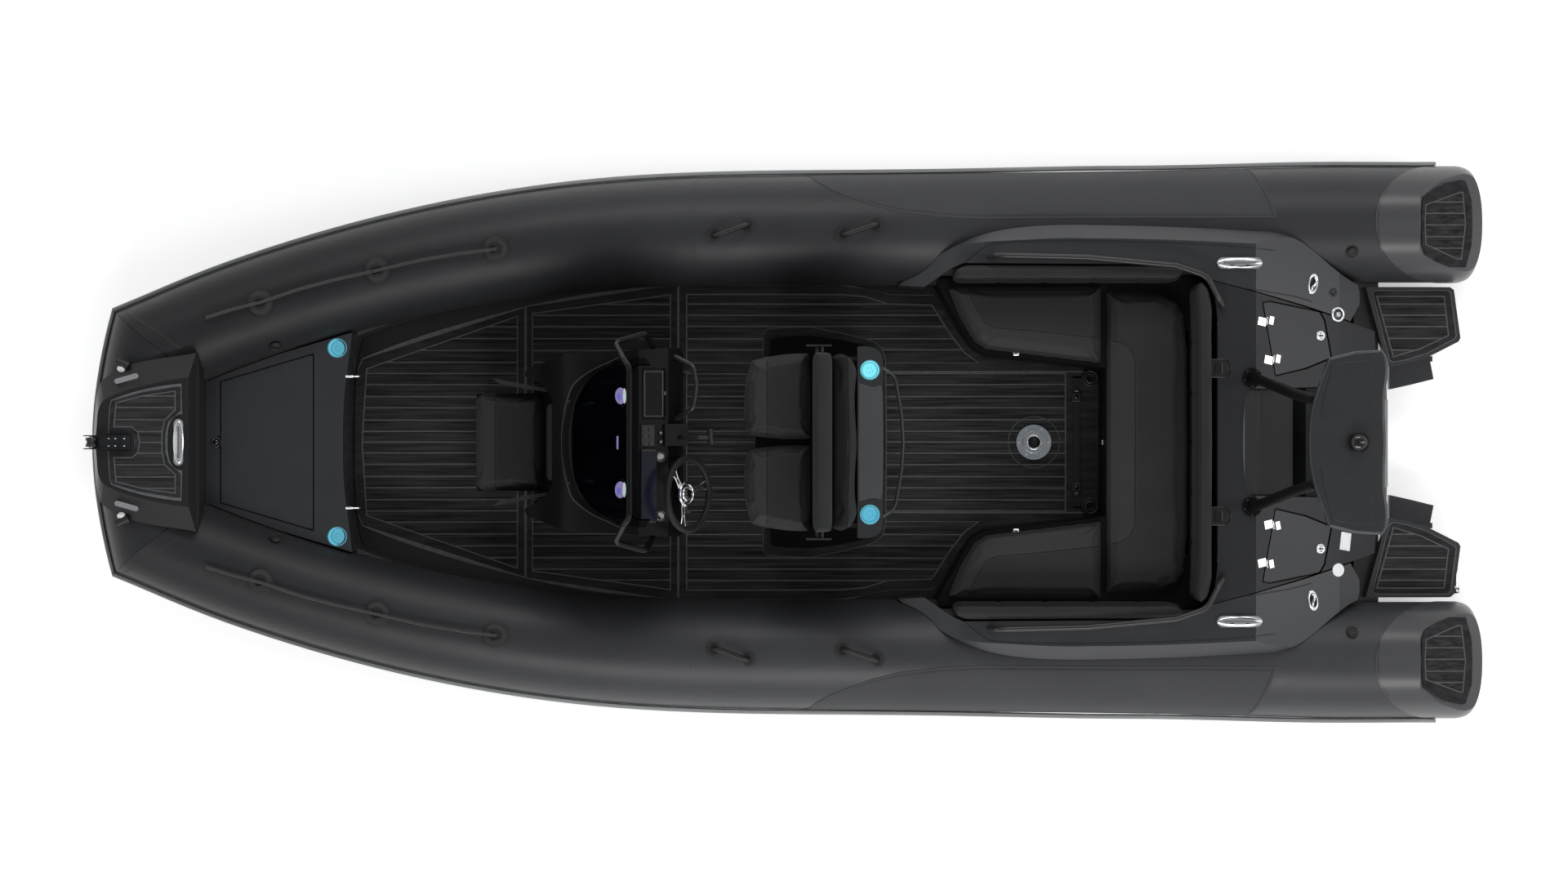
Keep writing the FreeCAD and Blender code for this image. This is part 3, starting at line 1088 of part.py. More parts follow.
# side rails on the coamings
hoops = []
for side_name, sg in SIDES.items():
    q = [(1210, 313, 600), (1222, 312.5, 700), (1330, 315, 706), (1440, 325, 706), (1478, 338, 706), (1496, 372, 690), (1500, 380, 600)]
    pts = []
    for a, b, z in q:
        x, y = plan(a, 541.5 + sg * (541.5 - b), z)
        pts.append((x, y, z))
    sr = pipe("side_rail_raw_" + side_name, pts, "rail_r", 90.0)
    hoops.append(cut("side_rail_" + side_name, cut("side_rail_c_" + side_name, sr, co_side), sd_side))
node(group("side_rails", *hoops))

# ---------------------------------------------------------------- boarding platforms and ladder
PF = [(1672.5, 351.5), (1775.5, 351.5), (1780.4, 355.0), (1788.5, 414), (1786, 418.4), (1749.3, 437), (1725.4, 444.6), (1701, 449.5),
      (1698, 447), (1693, 427)]
LOWSTEP = [(1701, 432), (1749, 432), (1755.3, 464.2), (1728, 471), (1702.5, 476.7), (1701, 476.7)]
for side_name, sg in SIDES.items():
    f = lambda q: [(a, 541.5 + sg * (541.5 - b)) for a, b in q]
    top = prism("platform_top_" + side_name, outline(265.0, ("l", f(PF))), 196.0, 68.0)
    lowp = prism("platform_low_" + side_name, outline(165.0, ("l", f(LOWSTEP))), 120.0, 48.0)
    y_in = plan(0, 541.5 + sg * 102.0, 200)[1]
    web = side_profile("platform_web_" + side_name, [(-2800.0, 200.0), (-3060.0, 200.0), (-3010.0, 150.0), (-2760.0, -30.0)], 26.0, y_in)
    web2 = side_profile("platform_web2_" + side_name, [(-2800.0, 200.0), (-3060.0, 200.0), (-3010.0, 150.0), (-2760.0, -30.0)], 20.0,
                        plan(0, 541.5 + sg * 187.5, 200)[1])
    solids = [top, lowp, web, web2]
    if side_name == "port":
        # two lugs that carry the ladder's rod
        for k, yy in enumerate((plan(0, 680.0, 170)[1] - 24.0, plan(0, 720.0, 170)[1] + 16.0)):
            solids.append(side_profile("ladder_lug%d" % k, [(-3150.0, 200.0), (-3150.0, 168.0), (-3166.0, 152.0), (-3184.0, 152.0), (-3194.0, 162.0),
                                                            (-3176.0, 200.0)], 8.0, yy + 4.0))
    allp = fuse("platform_all_" + side_name, *solids)
    if side_name == "port":
        allp = cut("platform_bored_port", allp, cylinder("ladder_bore", 10.06, 400.0, (-3178.0, 450.0, 168.0), (0, 1, 0)))
    node(cuts("platform_" + side_name, allp, cut("platform_hull_keep_" + side_name, box("platform_hull_box_" + side_name, (-2900.0, -1200.0, -400.0), (-2600.0, 1200.0, 193.5)),
              half_space("platform_hull_rake_" + side_name, (-2830.5, 0, 310.0), (-640.0, 0, -130.0)))))

pads = []
CAPPAD = [(1742, 241), (1757, 229.4), (1769, 223), (1790, 219), (1795.5, 221), (1803, 245), (1804, 274), (1803, 300), (1795.5, 328.5),
          (1774, 328.3), (1758.5, 321.8), (1744, 312), (1740.5, 300), (1739, 274)]
PFPAD = [(1680, 358), (1684, 355), (1773, 355), (1777, 359), (1784, 411), (1782, 415), (1748, 433), (1724, 440.8), (1706, 444), (1701, 442),
         (1697, 427)]
for side_name, sg in SIDES.items():
    f = lambda q: [(a, 541.5 + sg * (541.5 - b)) for a, b in q]
    sl = side_profile("cap_pad_slab_" + side_name, [(-2944.0, 507.3), (-3325.0, 361.3), (-3325.0, 367.3), (-2944.0, 513.3)], 700.0, 1022.0 * sg)
    pads.append(common("cap_pad_" + side_name, sl, prism("cap_pad_plan_" + side_name, outline(450.0, ("l", f(CAPPAD))), 200.0, 500.0)))
    pads.append(prism("platform_pad_" + side_name, outline(268.0, ("l", f(PFPAD))), 264.0, 4.0))
node(group("step_pads", *pads))

# folded boarding ladder under the port platform, hinged at its aft end
LX, LZ = -3178.0, 168.0
ly0 = plan(0, 541.5 + 138.5, 170)[1]
ly1 = plan(0, 541.5 + 178.5, 170)[1]
lad = [cylinder("ladder_hinge_rod", 10.0, ly1 - ly0 + 52.0, (LX, ly0 - 26.0, LZ), (0, 1, 0))]
for k, yy in enumerate((ly0, ly1)):
    lad.append(cylinder("ladder_rail%d" % k, 12.5, 322.0, (LX - 13.0, yy, LZ), (1, 0, 0)))
for k in range(3):
    lad.append(box("ladder_tread%d" % k, (LX + 60.0 + 105.0 * k, ly0, LZ - 10.0), (LX + 100.0 + 105.0 * k, ly1, LZ + 10.0)))
node(fuse("boarding_ladder", *lad))

# ---------------------------------------------------------------- arch
legs = []
for side_name, sg in SIDES.items():
    a = plan(1533, 541.5 + sg * 78.8, 632.0) + (632.0,)
    b = plan(1549, 541.5 + sg * 74.0, 900.0) + (900.0,)
    c = plan(1583, 541.5 + sg * 60.0, 1450.0) + (1450.0,)
    d = plan(1612, 541.5 + sg * 51.5, 1729.0) + (1729.0,)
    legs.append(pipe("arch_tube_" + side_name, [a, b, c, d], "leg_r", 500.0))
    legs.append(cylinder("arch_flange_" + side_name, 45.0, 12.0, a))
lg = fuse("arch_legs_raw", *legs)
node(cuts("arch_legs", lg, box("arch_leg_base", (-3000, -900, 300), (-1500, 900, 632.5)),
          box("arch_leg_top", (-3000, -900, 1729.3), (-1500, 900, 1900))), "arch_legs")
lx, lyy = plan(1664, 541.5, 1830.0)
dome = fuse("anchor_light", cylinder("anchor_light_foot", 42.0, 26.0, (lx, 0.0, 1790.0)), ball("anchor_light_dome", 38.0, (lx, 0.0, 1816.0)))
node(cut("anchor_light_c", dome, box("anchor_light_under", (lx - 90, -90, 1700), (lx + 90, 90, 1790.5))), "anchor_light")

# ---------------------------------------------------------------- sockets in the cockpit floor
tx, ty = plan(1266, 541.5, 80.0)
ts = cylinder("table_socket_disc", 83.0, 10.0, (tx, 0.0, 66.0))
ts2 = cylinder("table_socket_collar", 50.0, 26.0, (tx, 0.0, 66.0))
tb1 = cylinder("table_socket_bore", "socket_bore_r", 60.0, (tx, 0.0, 66.0 + 32.0 - VAL["socket_depth"]))
ts2.setExpression("Height", "dims.socket_depth + 6")
node(cut("table_socket", fuse("table_socket_body", ts, ts2), tb1))
post = []
for side_name, sg in SIDES.items():
    x, y = plan(1334.8, 541.5 + sg * 78.4, 80.0)
    p1 = cylinder("post_disc_" + side_name, 40.0, 28.0, (x, y, 66.0))
    ear = box("post_ear_" + side_name, (x + 10.0, min(y, y - sg * 34.0), 66.0), (x + 84.0, max(y, y - sg * 34.0), 80.0))
    post.append(fuse("post_solid_" + side_name, p1, ear))
bar = box("post_bar", (plan(1322, 0, 76)[0], -290.0, 66.5), (plan(1314, 0, 76)[0], 290.0, 76.0))
pb = fuse("post_all", post[0], post[1], bar)
bores = []
for side_name, sg in SIDES.items():
    x, y = plan(1334.8, 541.5 + sg * 78.4, 80.0)
    bores.append(cylinder("post_bore_" + side_name, "post_bore_r", 60.0, (x, y, 94.0 - VAL["post_depth"])))
node(cuts("post_sockets", pb, bores[0], bores[1]))

# ---------------------------------------------------------------- write the pieces
doc.recompute()
bad = []
for o in doc.Objects:
    if "Invalid" in o.State or "Error" in o.State:
        bad.append((o.Name, o.State))
for name, o in NODES.items():
    s = o.Shape
    if s.isNull() or not s.isValid() or not s.Solids:
        bad.append((name, "null" if s.isNull() else "valid=%s solids=%d" % (s.isValid(), len(s.Solids))))
if bad:
    for b in bad:
        print("BAD", b)
    raise SystemExit(1)
os.makedirs("parts", exist_ok=True)
total = None
for name, o in sorted(NODES.items()):
    o.Shape.exportStep("parts/%s.step" % name)
    bb = o.Shape.BoundBox
    print("%-24s solids %d vol %9.1f cm3  x %7.1f %7.1f y %7.1f %7.1f z %7.1f %7.1f" % (
        name, len(o.Shape.Solids), o.Shape.Volume / 1000.0, bb.XMin, bb.XMax, bb.YMin, bb.YMax, bb.ZMin, bb.ZMax))
print("nodes", len(NODES))
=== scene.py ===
import bpy
import bmesh
import math
import random
import numpy as np
from mathutils import Vector, Matrix
from mathutils.bvhtree import BVHTree
from mathutils.geometry import tessellate_polygon


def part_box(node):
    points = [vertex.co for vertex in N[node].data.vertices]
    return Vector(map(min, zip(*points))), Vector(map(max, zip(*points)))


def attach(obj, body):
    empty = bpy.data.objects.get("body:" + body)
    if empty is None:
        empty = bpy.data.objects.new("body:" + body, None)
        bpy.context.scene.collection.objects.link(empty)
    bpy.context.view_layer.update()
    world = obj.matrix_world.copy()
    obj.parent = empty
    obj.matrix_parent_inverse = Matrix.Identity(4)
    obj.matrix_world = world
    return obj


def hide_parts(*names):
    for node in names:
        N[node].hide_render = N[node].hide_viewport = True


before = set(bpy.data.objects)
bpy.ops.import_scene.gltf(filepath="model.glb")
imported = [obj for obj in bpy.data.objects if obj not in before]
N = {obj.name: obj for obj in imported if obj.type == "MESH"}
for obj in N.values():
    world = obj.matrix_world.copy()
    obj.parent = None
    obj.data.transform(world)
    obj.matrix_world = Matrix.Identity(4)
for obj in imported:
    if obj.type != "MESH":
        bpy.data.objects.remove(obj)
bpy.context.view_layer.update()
scene = bpy.context.scene
rng = random.Random(7)

# ------------------------------------------------------------------ places
CAM = Vector((0.0, -0.00574, 16.3))


def K(z):
    return 3.83e-3 * (16300.0 - z) / 16000.0


def P(px, py, z):
    k = K(z)
    return Vector(((960.0 - px) * k, (py - 541.5) * k, z / 1000.0))


def M(pts):
    return [(x, 1083.0 - y) for x, y in pts]


def both(pts):
    # a closed outline from its starboard half, which starts and ends on the centreline
    return list(pts) + [(x, 1083.0 - y) for x, y in reversed(pts) if abs(y - 541.5) > 0.01]


def ray(px, py):
    return (P(px, py, 0.0) - CAM).normalized()


def on_plane(px, py, p0, n):
    d = P(px, py, 0.0) - CAM
    t = (Vector(p0) - CAM).dot(Vector(n)) / d.dot(Vector(n))
    return CAM + d * t


_trees = {}


def tree(name):
    if name not in _trees:
        me = N[name].data
        _trees[name] = BVHTree.FromPolygons([v.co.copy() for v in me.vertices], [tuple(p.vertices) for p in me.polygons])
    return _trees[name]


def hit(px, py, *names, reach=8.0):
    # where the line of sight through a picture point, or the nearest point that works, meets a CAD node
    best = None
    for r in (0.0, 1.5, 3.0, 4.5, 6.0, 8.0):
        if r > reach or best is not None:
            break
        for k in range(1 if r == 0 else 12):
            d = ray(px + r * math.cos(k * math.pi / 6), py + r * math.sin(k * math.pi / 6))
            for n in names:
                loc, nor, idx, dist = tree(n).ray_cast(CAM, d)
                if loc is not None and (best is None or dist < best[2]):
                    best = (loc, nor, dist)
            if best is not None:
                break
    if best is None:
        raise RuntimeError("nothing under %s %s for %s" % (px, py, names))
    nor = best[1]
    if nor.dot(d) > 0:
        nor = -nor
    return best[0], nor


def frame_at(loc, nor, along=(1, 0, 0)):
    z = nor.normalized()
    x = Vector(along) - z * Vector(along).dot(z)
    x.normalize()
    y = z.cross(x)
    m = Matrix((x, y, z)).transposed().to_4x4()
    m.translation = loc
    return m


# ------------------------------------------------------------------ shaders
def mat(name, col, rough=0.5, spec=0.5, metal=0.0, vary=0.15, vscale=3.0, bump=0.0, bscale=300.0, coat=0.0, coat_rough=0.15,
        sheen=0.0, kind="noise", stretch=(1, 1, 1), rvary=0.06, edge_lighten=0.0, emit=None, estr=0.0, trans=0.0, ior=1.45, alt=None, dist=0.0012):
    m = bpy.data.materials.new(name)
    m.use_nodes = True
    nt = m.node_tree
    ns, lk = nt.nodes, nt.links
    b = ns["Principled BSDF"]
    b.inputs["Specular IOR Level"].default_value = spec
    b.inputs["Metallic"].default_value = metal
    b.inputs["IOR"].default_value = ior
    if coat:
        b.inputs["Coat Weight"].default_value = coat
        b.inputs["Coat Roughness"].default_value = coat_rough
    if sheen:
        b.inputs["Sheen Weight"].default_value = sheen
        b.inputs["Sheen Roughness"].default_value = 0.4
    if trans:
        b.inputs["Transmission Weight"].default_value = trans
    if emit:
        b.inputs["Emission Color"].default_value = (*emit, 1)
        b.inputs["Emission Strength"].default_value = estr
    tc = ns.new("ShaderNodeTexCoord")
    mp = ns.new("ShaderNodeMapping")
    mp.inputs["Scale"].default_value = stretch
    lk.new(tc.outputs["Object"], mp.inputs["Vector"])
    n1 = ns.new("ShaderNodeTexNoise")
    n1.inputs["Scale"].default_value = vscale
    n1.inputs["Detail"].default_value = 5.0
    n1.inputs["Roughness"].default_value = 0.6
    lk.new(mp.outputs["Vector"], n1.inputs["Vector"])
    cr = ns.new("ShaderNodeValToRGB")
    a = [max(0.0, c * (1 - vary)) for c in col]
    c2 = alt or [min(1.0, c * (1 + vary)) for c in col]
    cr.color_ramp.elements[0].position = 0.33
    cr.color_ramp.elements[1].position = 0.67
    cr.color_ramp.elements[0].color = (*a, 1)
    cr.color_ramp.elements[1].color = (*c2, 1)
    lk.new(n1.outputs["Fac"], cr.inputs["Fac"])
    last = cr.outputs["Color"]
    if edge_lighten:
        # convex edges (high pointiness) drawn lighter
        bv = ns.new("ShaderNodeNewGeometry")
        pr = ns.new("ShaderNodeValToRGB")
        pr.color_ramp.elements[0].position = 0.52
        pr.color_ramp.elements[1].position = 0.60
        pr.color_ramp.elements[0].color = (0, 0, 0, 1)
        pr.color_ramp.elements[1].color = (edge_lighten, edge_lighten, edge_lighten, 1)
        lk.new(bv.outputs["Pointiness"], pr.inputs["Fac"])
        mx = ns.new("ShaderNodeMix")
        mx.data_type = "RGBA"
        mx.inputs["B"].default_value = (*[min(1.0, c * 2.6 + 0.02) for c in col], 1)
        lk.new(pr.outputs["Color"], mx.inputs["Factor"])
        lk.new(last, mx.inputs["A"])
        last = mx.outputs["Result"]
    lk.new(last, b.inputs["Base Color"])
    mr = ns.new("ShaderNodeMapRange")
    mr.inputs["To Min"].default_value = max(0.02, rough - rvary)
    mr.inputs["To Max"].default_value = min(1.0, rough + rvary)
    n2 = ns.new("ShaderNodeTexNoise")
    n2.inputs["Scale"].default_value = vscale * 4.0
    n2.inputs["Detail"].default_value = 3.0
    lk.new(mp.outputs["Vector"], n2.inputs["Vector"])
    lk.new(n2.outputs["Fac"], mr.inputs["Value"])
    lk.new(mr.outputs["Result"], b.inputs["Roughness"])
    if bump:
        bp = ns.new("ShaderNodeBump")
        bp.inputs["Strength"].default_value = bump
        bp.inputs["Distance"].default_value = dist
        if kind == "leather":
            t = ns.new("ShaderNodeTexVoronoi")
            t.feature = "DISTANCE_TO_EDGE"
            t.inputs["Scale"].default_value = bscale
            lk.new(tc.outputs["Object"], t.inputs["Vector"])
            lk.new(t.outputs["Distance"], bp.inputs["Height"])
        elif kind == "weave":
            hs = []
            for i, ax in enumerate(("X", "Y", "Z")):
                w = ns.new("ShaderNodeTexWave")
                w.bands_direction = ax
                w.inputs["Scale"].default_value = bscale
                w.inputs["Distortion"].default_value = 0.6
                lk.new(tc.outputs["Object"], w.inputs["Vector"])
                hs.append(w.outputs["Fac"])
            m1 = ns.new("ShaderNodeMath")
            m1.operation = "MULTIPLY"
            lk.new(hs[0], m1.inputs[0])
            lk.new(hs[1], m1.inputs[1])
            m2 = ns.new("ShaderNodeMath")
            m2.operation = "ADD"
            lk.new(m1.outputs[0], m2.inputs[0])
            lk.new(hs[2], m2.inputs[1])
            lk.new(m2.outputs[0], bp.inputs["Height"])
        else:
            t = ns.new("ShaderNodeTexNoise")
            t.inputs["Scale"].default_value = bscale
            t.inputs["Detail"].default_value = 4.0
            lk.new(mp.outputs["Vector"], t.inputs["Vector"])
            lk.new(t.outputs["Fac"], bp.inputs["Height"])
        lk.new(bp.outputs["Normal"], b.inputs["Normal"])
    return m


G = {}
G["tube"] = mat("tube_fabric", (0.030, 0.031, 0.033), 0.42, 0.42, vary=0.10, vscale=1.6, bump=0.10, bscale=420, kind="weave", dist=0.0005)
G["panel"] = mat("tube_panel", (0.044, 0.045, 0.047), 0.62, 0.28, vary=0.08, vscale=2.0, bump=0.25, bscale=260, kind="weave", dist=0.0006)
G["seam"] = mat("tube_seam", (0.018, 0.018, 0.019), 0.5, 0.35, vary=0.12, bump=0.1, bscale=300)
G["strake"] = mat("strake_rubber", (0.15, 0.155, 0.157), 0.5, 0.4, vary=0.12, bump=0.15, bscale=200, edge_lighten=0.25)
G["strake_dark"] = mat("strake_face", (0.022, 0.022, 0.023), 0.55, 0.35, vary=0.15, bump=0.2, bscale=260)
G["patch"] = mat("patch_rubber", (0.0145, 0.0145, 0.0155), 0.45, 0.4, vary=0.15, bump=0.15, bscale=260, edge_lighten=0.35)
G["hull"] = mat("hull_gelcoat", (0.022, 0.022, 0.024), 0.22, 0.5, vary=0.06, vscale=1.2, bump=0.03, bscale=60, coat=0.6, coat_rough=0.08)
G["deck"] = mat("deck_gelcoat", (0.0075, 0.0077, 0.008), 0.34, 0.35, vary=0.12, bump=0.08, bscale=420, coat=0.2)
G["mould"] = mat("moulding_gelcoat", (0.022, 0.0232, 0.0252), 0.36, 0.42, vary=0.06, vscale=2.0, bump=0.05, bscale=380, coat=0.25, coat_rough=0.2)
G["stern"] = mat("stern_gelcoat", (0.0180, 0.0188, 0.0204), 0.42, 0.26, vary=0.05, vscale=2.0, bump=0.05, bscale=380, coat=0.08, coat_rough=0.2)
G["lid"] = mat("lid_gelcoat", (0.0265, 0.0275, 0.0300), 0.40, 0.32, vary=0.10, vscale=2.0, bump=0.05, bscale=380, coat=0.12, coat_rough=0.2)
G["nose"] = mat("nose_gelcoat", (0.0088, 0.0092, 0.0097), 0.38, 0.36, vary=0.10, vscale=2.0, bump=0.05, bscale=380, coat=0.2, coat_rough=0.2)
G["console"] = mat("console_gelcoat", (0.0050, 0.0051, 0.0055), 0.42, 0.10, vary=0.10, vscale=2.0, bump=0.05, bscale=360)
G["wing"] = mat("wing_gelcoat", (0.0175, 0.0187, 0.020), 0.34, 0.42, vary=0.07, vscale=2.0, bump=0.05, bscale=360, coat=0.25, coat_rough=0.2)
G["cap"] = mat("cap_gelcoat", (0.050, 0.051, 0.053), 0.36, 0.42, vary=0.05, vscale=2.0, bump=0.05, bscale=380, coat=0.25, coat_rough=0.2)
G["dark"] = mat("dark_plastic", (0.006, 0.006, 0.0065), 0.42, 0.4, vary=0.2, bump=0.25, bscale=700, edge_lighten=0.3)
G["gloss"] = mat("gloss_plastic", (0.004, 0.004, 0.005), 0.10, 0.5, vary=0.1, bump=0.01, bscale=50, coat=0.4, coat_rough=0.05)
G["rail"] = mat("powder_coat", (0.0040, 0.0040, 0.0044), 0.38, 0.12, metal=0.0, vary=0.15, bump=0.12, bscale=900, coat=0.06, edge_lighten=0.12)
# a lighter grey copy of the black powder coat: grey trim lines, and painted highlight where it stands for the light on
# the dark rails
G["grey_trim_and_highlight"] = mat("powder_grey_and_painted_highlight", (0.020, 0.020, 0.021), 0.34, 0.40, vary=0.10, bump=0.10, bscale=900, coat=0.2, edge_lighten=0.25)
# near-black, also used as painted shade on the helm plinth
G["black"] = mat("black_moulding_and_painted_shade", (0.0020, 0.0020, 0.0023), 0.50, 0.07, vary=0.2, vscale=3.0, bump=0.05, bscale=300)
G["shelf"] = mat("shelf_gelcoat", (0.050, 0.052, 0.056), 0.36, 0.42, vary=0.06, vscale=1.5, bump=0.05, bscale=360, coat=0.2, coat_rough=0.2)
G["glowd"] = mat("blue_cup_ring", (0.05, 0.20, 0.25), 0.30, 0.4, vary=0.10, vscale=40, emit=(0.080, 0.30, 0.38), estr=0.5)
G["rope"] = mat("rope_braid", (0.058, 0.058, 0.060), 0.8, 0.2, vary=0.35, vscale=160, bump=0.9, bscale=360, kind="weave", dist=0.0015, sheen=0.2)
G["steel"] = mat("stainless", (0.72, 0.73, 0.74), 0.16, 0.5, metal=1.0, vary=0.05, vscale=18, bump=0.04, bscale=500, stretch=(1, 8, 1), rvary=0.05)
G["brushed"] = mat("brushed_disc", (0.42, 0.46, 0.49), 0.30, 0.5, metal=1.0, vary=0.10, vscale=22, bump=0.06, bscale=600, stretch=(1, 9, 1), rvary=0.08)
G["steel_dark"] = mat("dark_metal", (0.05, 0.052, 0.055), 0.28, 0.5, metal=1.0, vary=0.12, vscale=20, bump=0.05, bscale=500, rvary=0.06)
G["caulk"] = mat("caulk_line", (0.088, 0.090, 0.092), 0.75, 0.25, vary=0.16, vscale=30, bump=0.2, bscale=500)
G["joint"] = mat("pad_joint", (0.052, 0.054, 0.056), 0.75, 0.25, vary=0.16, vscale=30, bump=0.2, bscale=500)
G["plank"] = mat("foam_plank", (0.0125, 0.0128, 0.0135), 0.78, 0.22, vary=0.62, vscale=6.0, stretch=(0.55, 14.0, 8.0), bump=0.5, bscale=42, alt=(0.034, 0.0345, 0.036), dist=0.0009)
G["plank2"] = mat("foam_margin", (0.0155, 0.016, 0.017), 0.78, 0.22, vary=0.4, vscale=6.0, stretch=(0.8, 6.0, 8.0), bump=0.5, bscale=60, alt=(0.027, 0.0275, 0.029), dist=0.0009)
G["vinyl"] = mat("marine_vinyl", (0.0165, 0.017, 0.0172), 0.60, 0.28, vary=0.12, vscale=2.4, bump=0.30, bscale=420, kind="leather", dist=0.0010, sheen=0.06)
G["vinyl2"] = mat("marine_vinyl_dark", (0.0075, 0.0077, 0.0079), 0.55, 0.28, vary=0.12, vscale=2.4, bump=0.30, bscale=420, kind="leather", dist=0.0010, sheen=0.04)
G["vinyl3"] = mat("marine_vinyl_roll", (0.024, 0.0245, 0.025), 0.60, 0.28, vary=0.10, vscale=2.4, bump=0.30, bscale=420, kind="leather", dist=0.0010, sheen=0.06)
G["thread"] = mat("thread", (0.06, 0.06, 0.062), 0.8, 0.2, vary=0.3, vscale=200, bump=0.3, bscale=900)
G["piping"] = mat("piping_cord", (0.009, 0.009, 0.0095), 0.55, 0.3, vary=0.2, bump=0.3, bscale=500, kind="leather", dist=0.0006)
G["glass"] = mat("tinted_screen", (0.16, 0.11, 0.26), 0.03, 0.3, vary=0.06, vscale=1.0, trans=1.0, ior=1.07, rvary=0.01)
G["lens"] = mat("violet_lens", (0.36, 0.33, 0.52), 0.12, 0.5, vary=0.25, vscale=40, emit=(0.70, 0.84, 0.66), estr=1.9, coat=0.6, coat_rough=0.05)
G["lens2"] = mat("violet_lens_core", (0.7, 0.65, 0.85), 0.12, 0.5, vary=0.1, vscale=40, emit=(0.34, 0.52, 1.0), estr=1.7, coat=0.6, coat_rough=0.05)
# painted highlight: a bright glowing crescent on the aft side of each lens stands in for a reflection of the light
G["lensw"] = mat("lens_painted_highlight", (0.7, 0.7, 0.7), 0.12, 0.5, vary=0.05, vscale=40, emit=(0.52, 1.0, 0.36), estr=5.0, coat=0.6, coat_rough=0.05)
G["strip"] = mat("violet_strip", (0.10, 0.09, 0.16), 0.30, 0.3, vary=0.2, vscale=40, emit=(0.20, 0.165, 0.37), estr=0.9)
G["vinyl4"] = mat("marine_vinyl_black", (0.0042, 0.0043, 0.0044), 0.58, 0.22, vary=0.12, vscale=2.4, bump=0.30, bscale=420, kind="leather", dist=0.0010, sheen=0.02)
G["glow"] = mat("blue_cup_light", (0.12, 0.36, 0.44), 0.30, 0.5, vary=0.10, vscale=40, emit=(0.135, 0.47, 0.60), estr=0.62)
G["glow2"] = mat("blue_cup_light_b", (0.20, 0.50, 0.55), 0.30, 0.5, vary=0.10, vscale=40, emit=(0.28, 0.78, 0.82), estr=0.62)
G["white"] = mat("white_plastic", (0.78, 0.79, 0.80), 0.25, 0.5, vary=0.04, vscale=10, bump=0.03, bscale=200, coat=0.3)
G["screen"] = mat("display_glass", (0.006, 0.007, 0.012), 0.20, 0.05, vary=0.3, vscale=8, emit=(0.008, 0.010, 0.018), estr=0.3)
G["dial"] = mat("dial_face", (0.012, 0.012, 0.014), 0.2, 0.5, vary=0.2, vscale=30, coat=0.8, coat_rough=0.03)
G["mark"] = mat("dial_marks", (0.6, 0.62, 0.62), 0.4, 0.4, vary=0.05, vscale=30)
G["red"] = mat("red_lamp", (0.30, 0.01, 0.01), 0.15, 0.5, vary=0.1, vscale=30, coat=0.6)
G["green"] = mat("green_lamp", (0.01, 0.20, 0.05), 0.15, 0.5, vary=0.1, vscale=30, coat=0.6)


def paint_shade(m, xs, fx, ys=None, fy=None):
    # painted shade: the colour and the highlight strength (specular level) are multiplied by a smooth ramp along object
    # x (and y), so the surface darkens towards one end as the light falls off there
    nt = m.node_tree
    ns, lk = nt.nodes, nt.links
    b = next(n for n in ns if n.type == "BSDF_PRINCIPLED")
    tc = ns.new("ShaderNodeTexCoord")
    sp = ns.new("ShaderNodeSeparateXYZ")
    lk.new(tc.outputs["Object"], sp.inputs["Vector"])
    outs = []
    for axis, span, f in (("X", xs, fx), ("Y", ys, fy)):
        if span is None:
            continue
        r = ns.new("ShaderNodeMapRange")
        r.interpolation_type = "SMOOTHSTEP"
        r.inputs["From Min"].default_value, r.inputs["From Max"].default_value = span
        r.inputs["To Min"].default_value, r.inputs["To Max"].default_value = f
        lk.new(sp.outputs[axis], r.inputs["Value"])
        outs.append(r.outputs["Result"])
    v = outs[0]
    if len(outs) > 1:
        mu = ns.new("ShaderNodeMath")
        mu.operation = "MULTIPLY"
        lk.new(outs[0], mu.inputs[0])
        lk.new(outs[1], mu.inputs[1])
        v = mu.outputs[0]
    old = b.inputs["Base Color"].links[0].from_socket
    mx = ns.new("ShaderNodeMix")
    mx.data_type = "RGBA"
    mx.blend_type = "MULTIPLY"
    mx.inputs["Factor"].default_value = 1.0
    a_in = [i for i in mx.inputs if i.type == "RGBA"]
    lk.new(old, a_in[0])
    lk.new(v, a_in[1])
    lk.new([o for o in mx.outputs if o.type == "RGBA"][0], b.inputs["Base Color"])
    sm = ns.new("ShaderNodeMath")
    sm.operation = "MULTIPLY"
    sm.inputs[1].default_value = b.inputs["Specular IOR Level"].default_value
    lk.new(v, sm.inputs[0])
    lk.new(sm.outputs[0], b.inputs["Specular IOR Level"])


# painted shade: the tubes darken towards the bow and a little on the starboard side, and the strake darkens towards the
# bow
paint_shade(G["tube"], (0.2, 2.5), (1.0, 0.62), (-1.0, 1.0), (0.86, 1.06))
paint_shade(G["strake"], (0.6, 2.6), (1.0, 0.55))


def give(obj, m):
    obj.data.materials.clear()
    obj.data.materials.append(m)


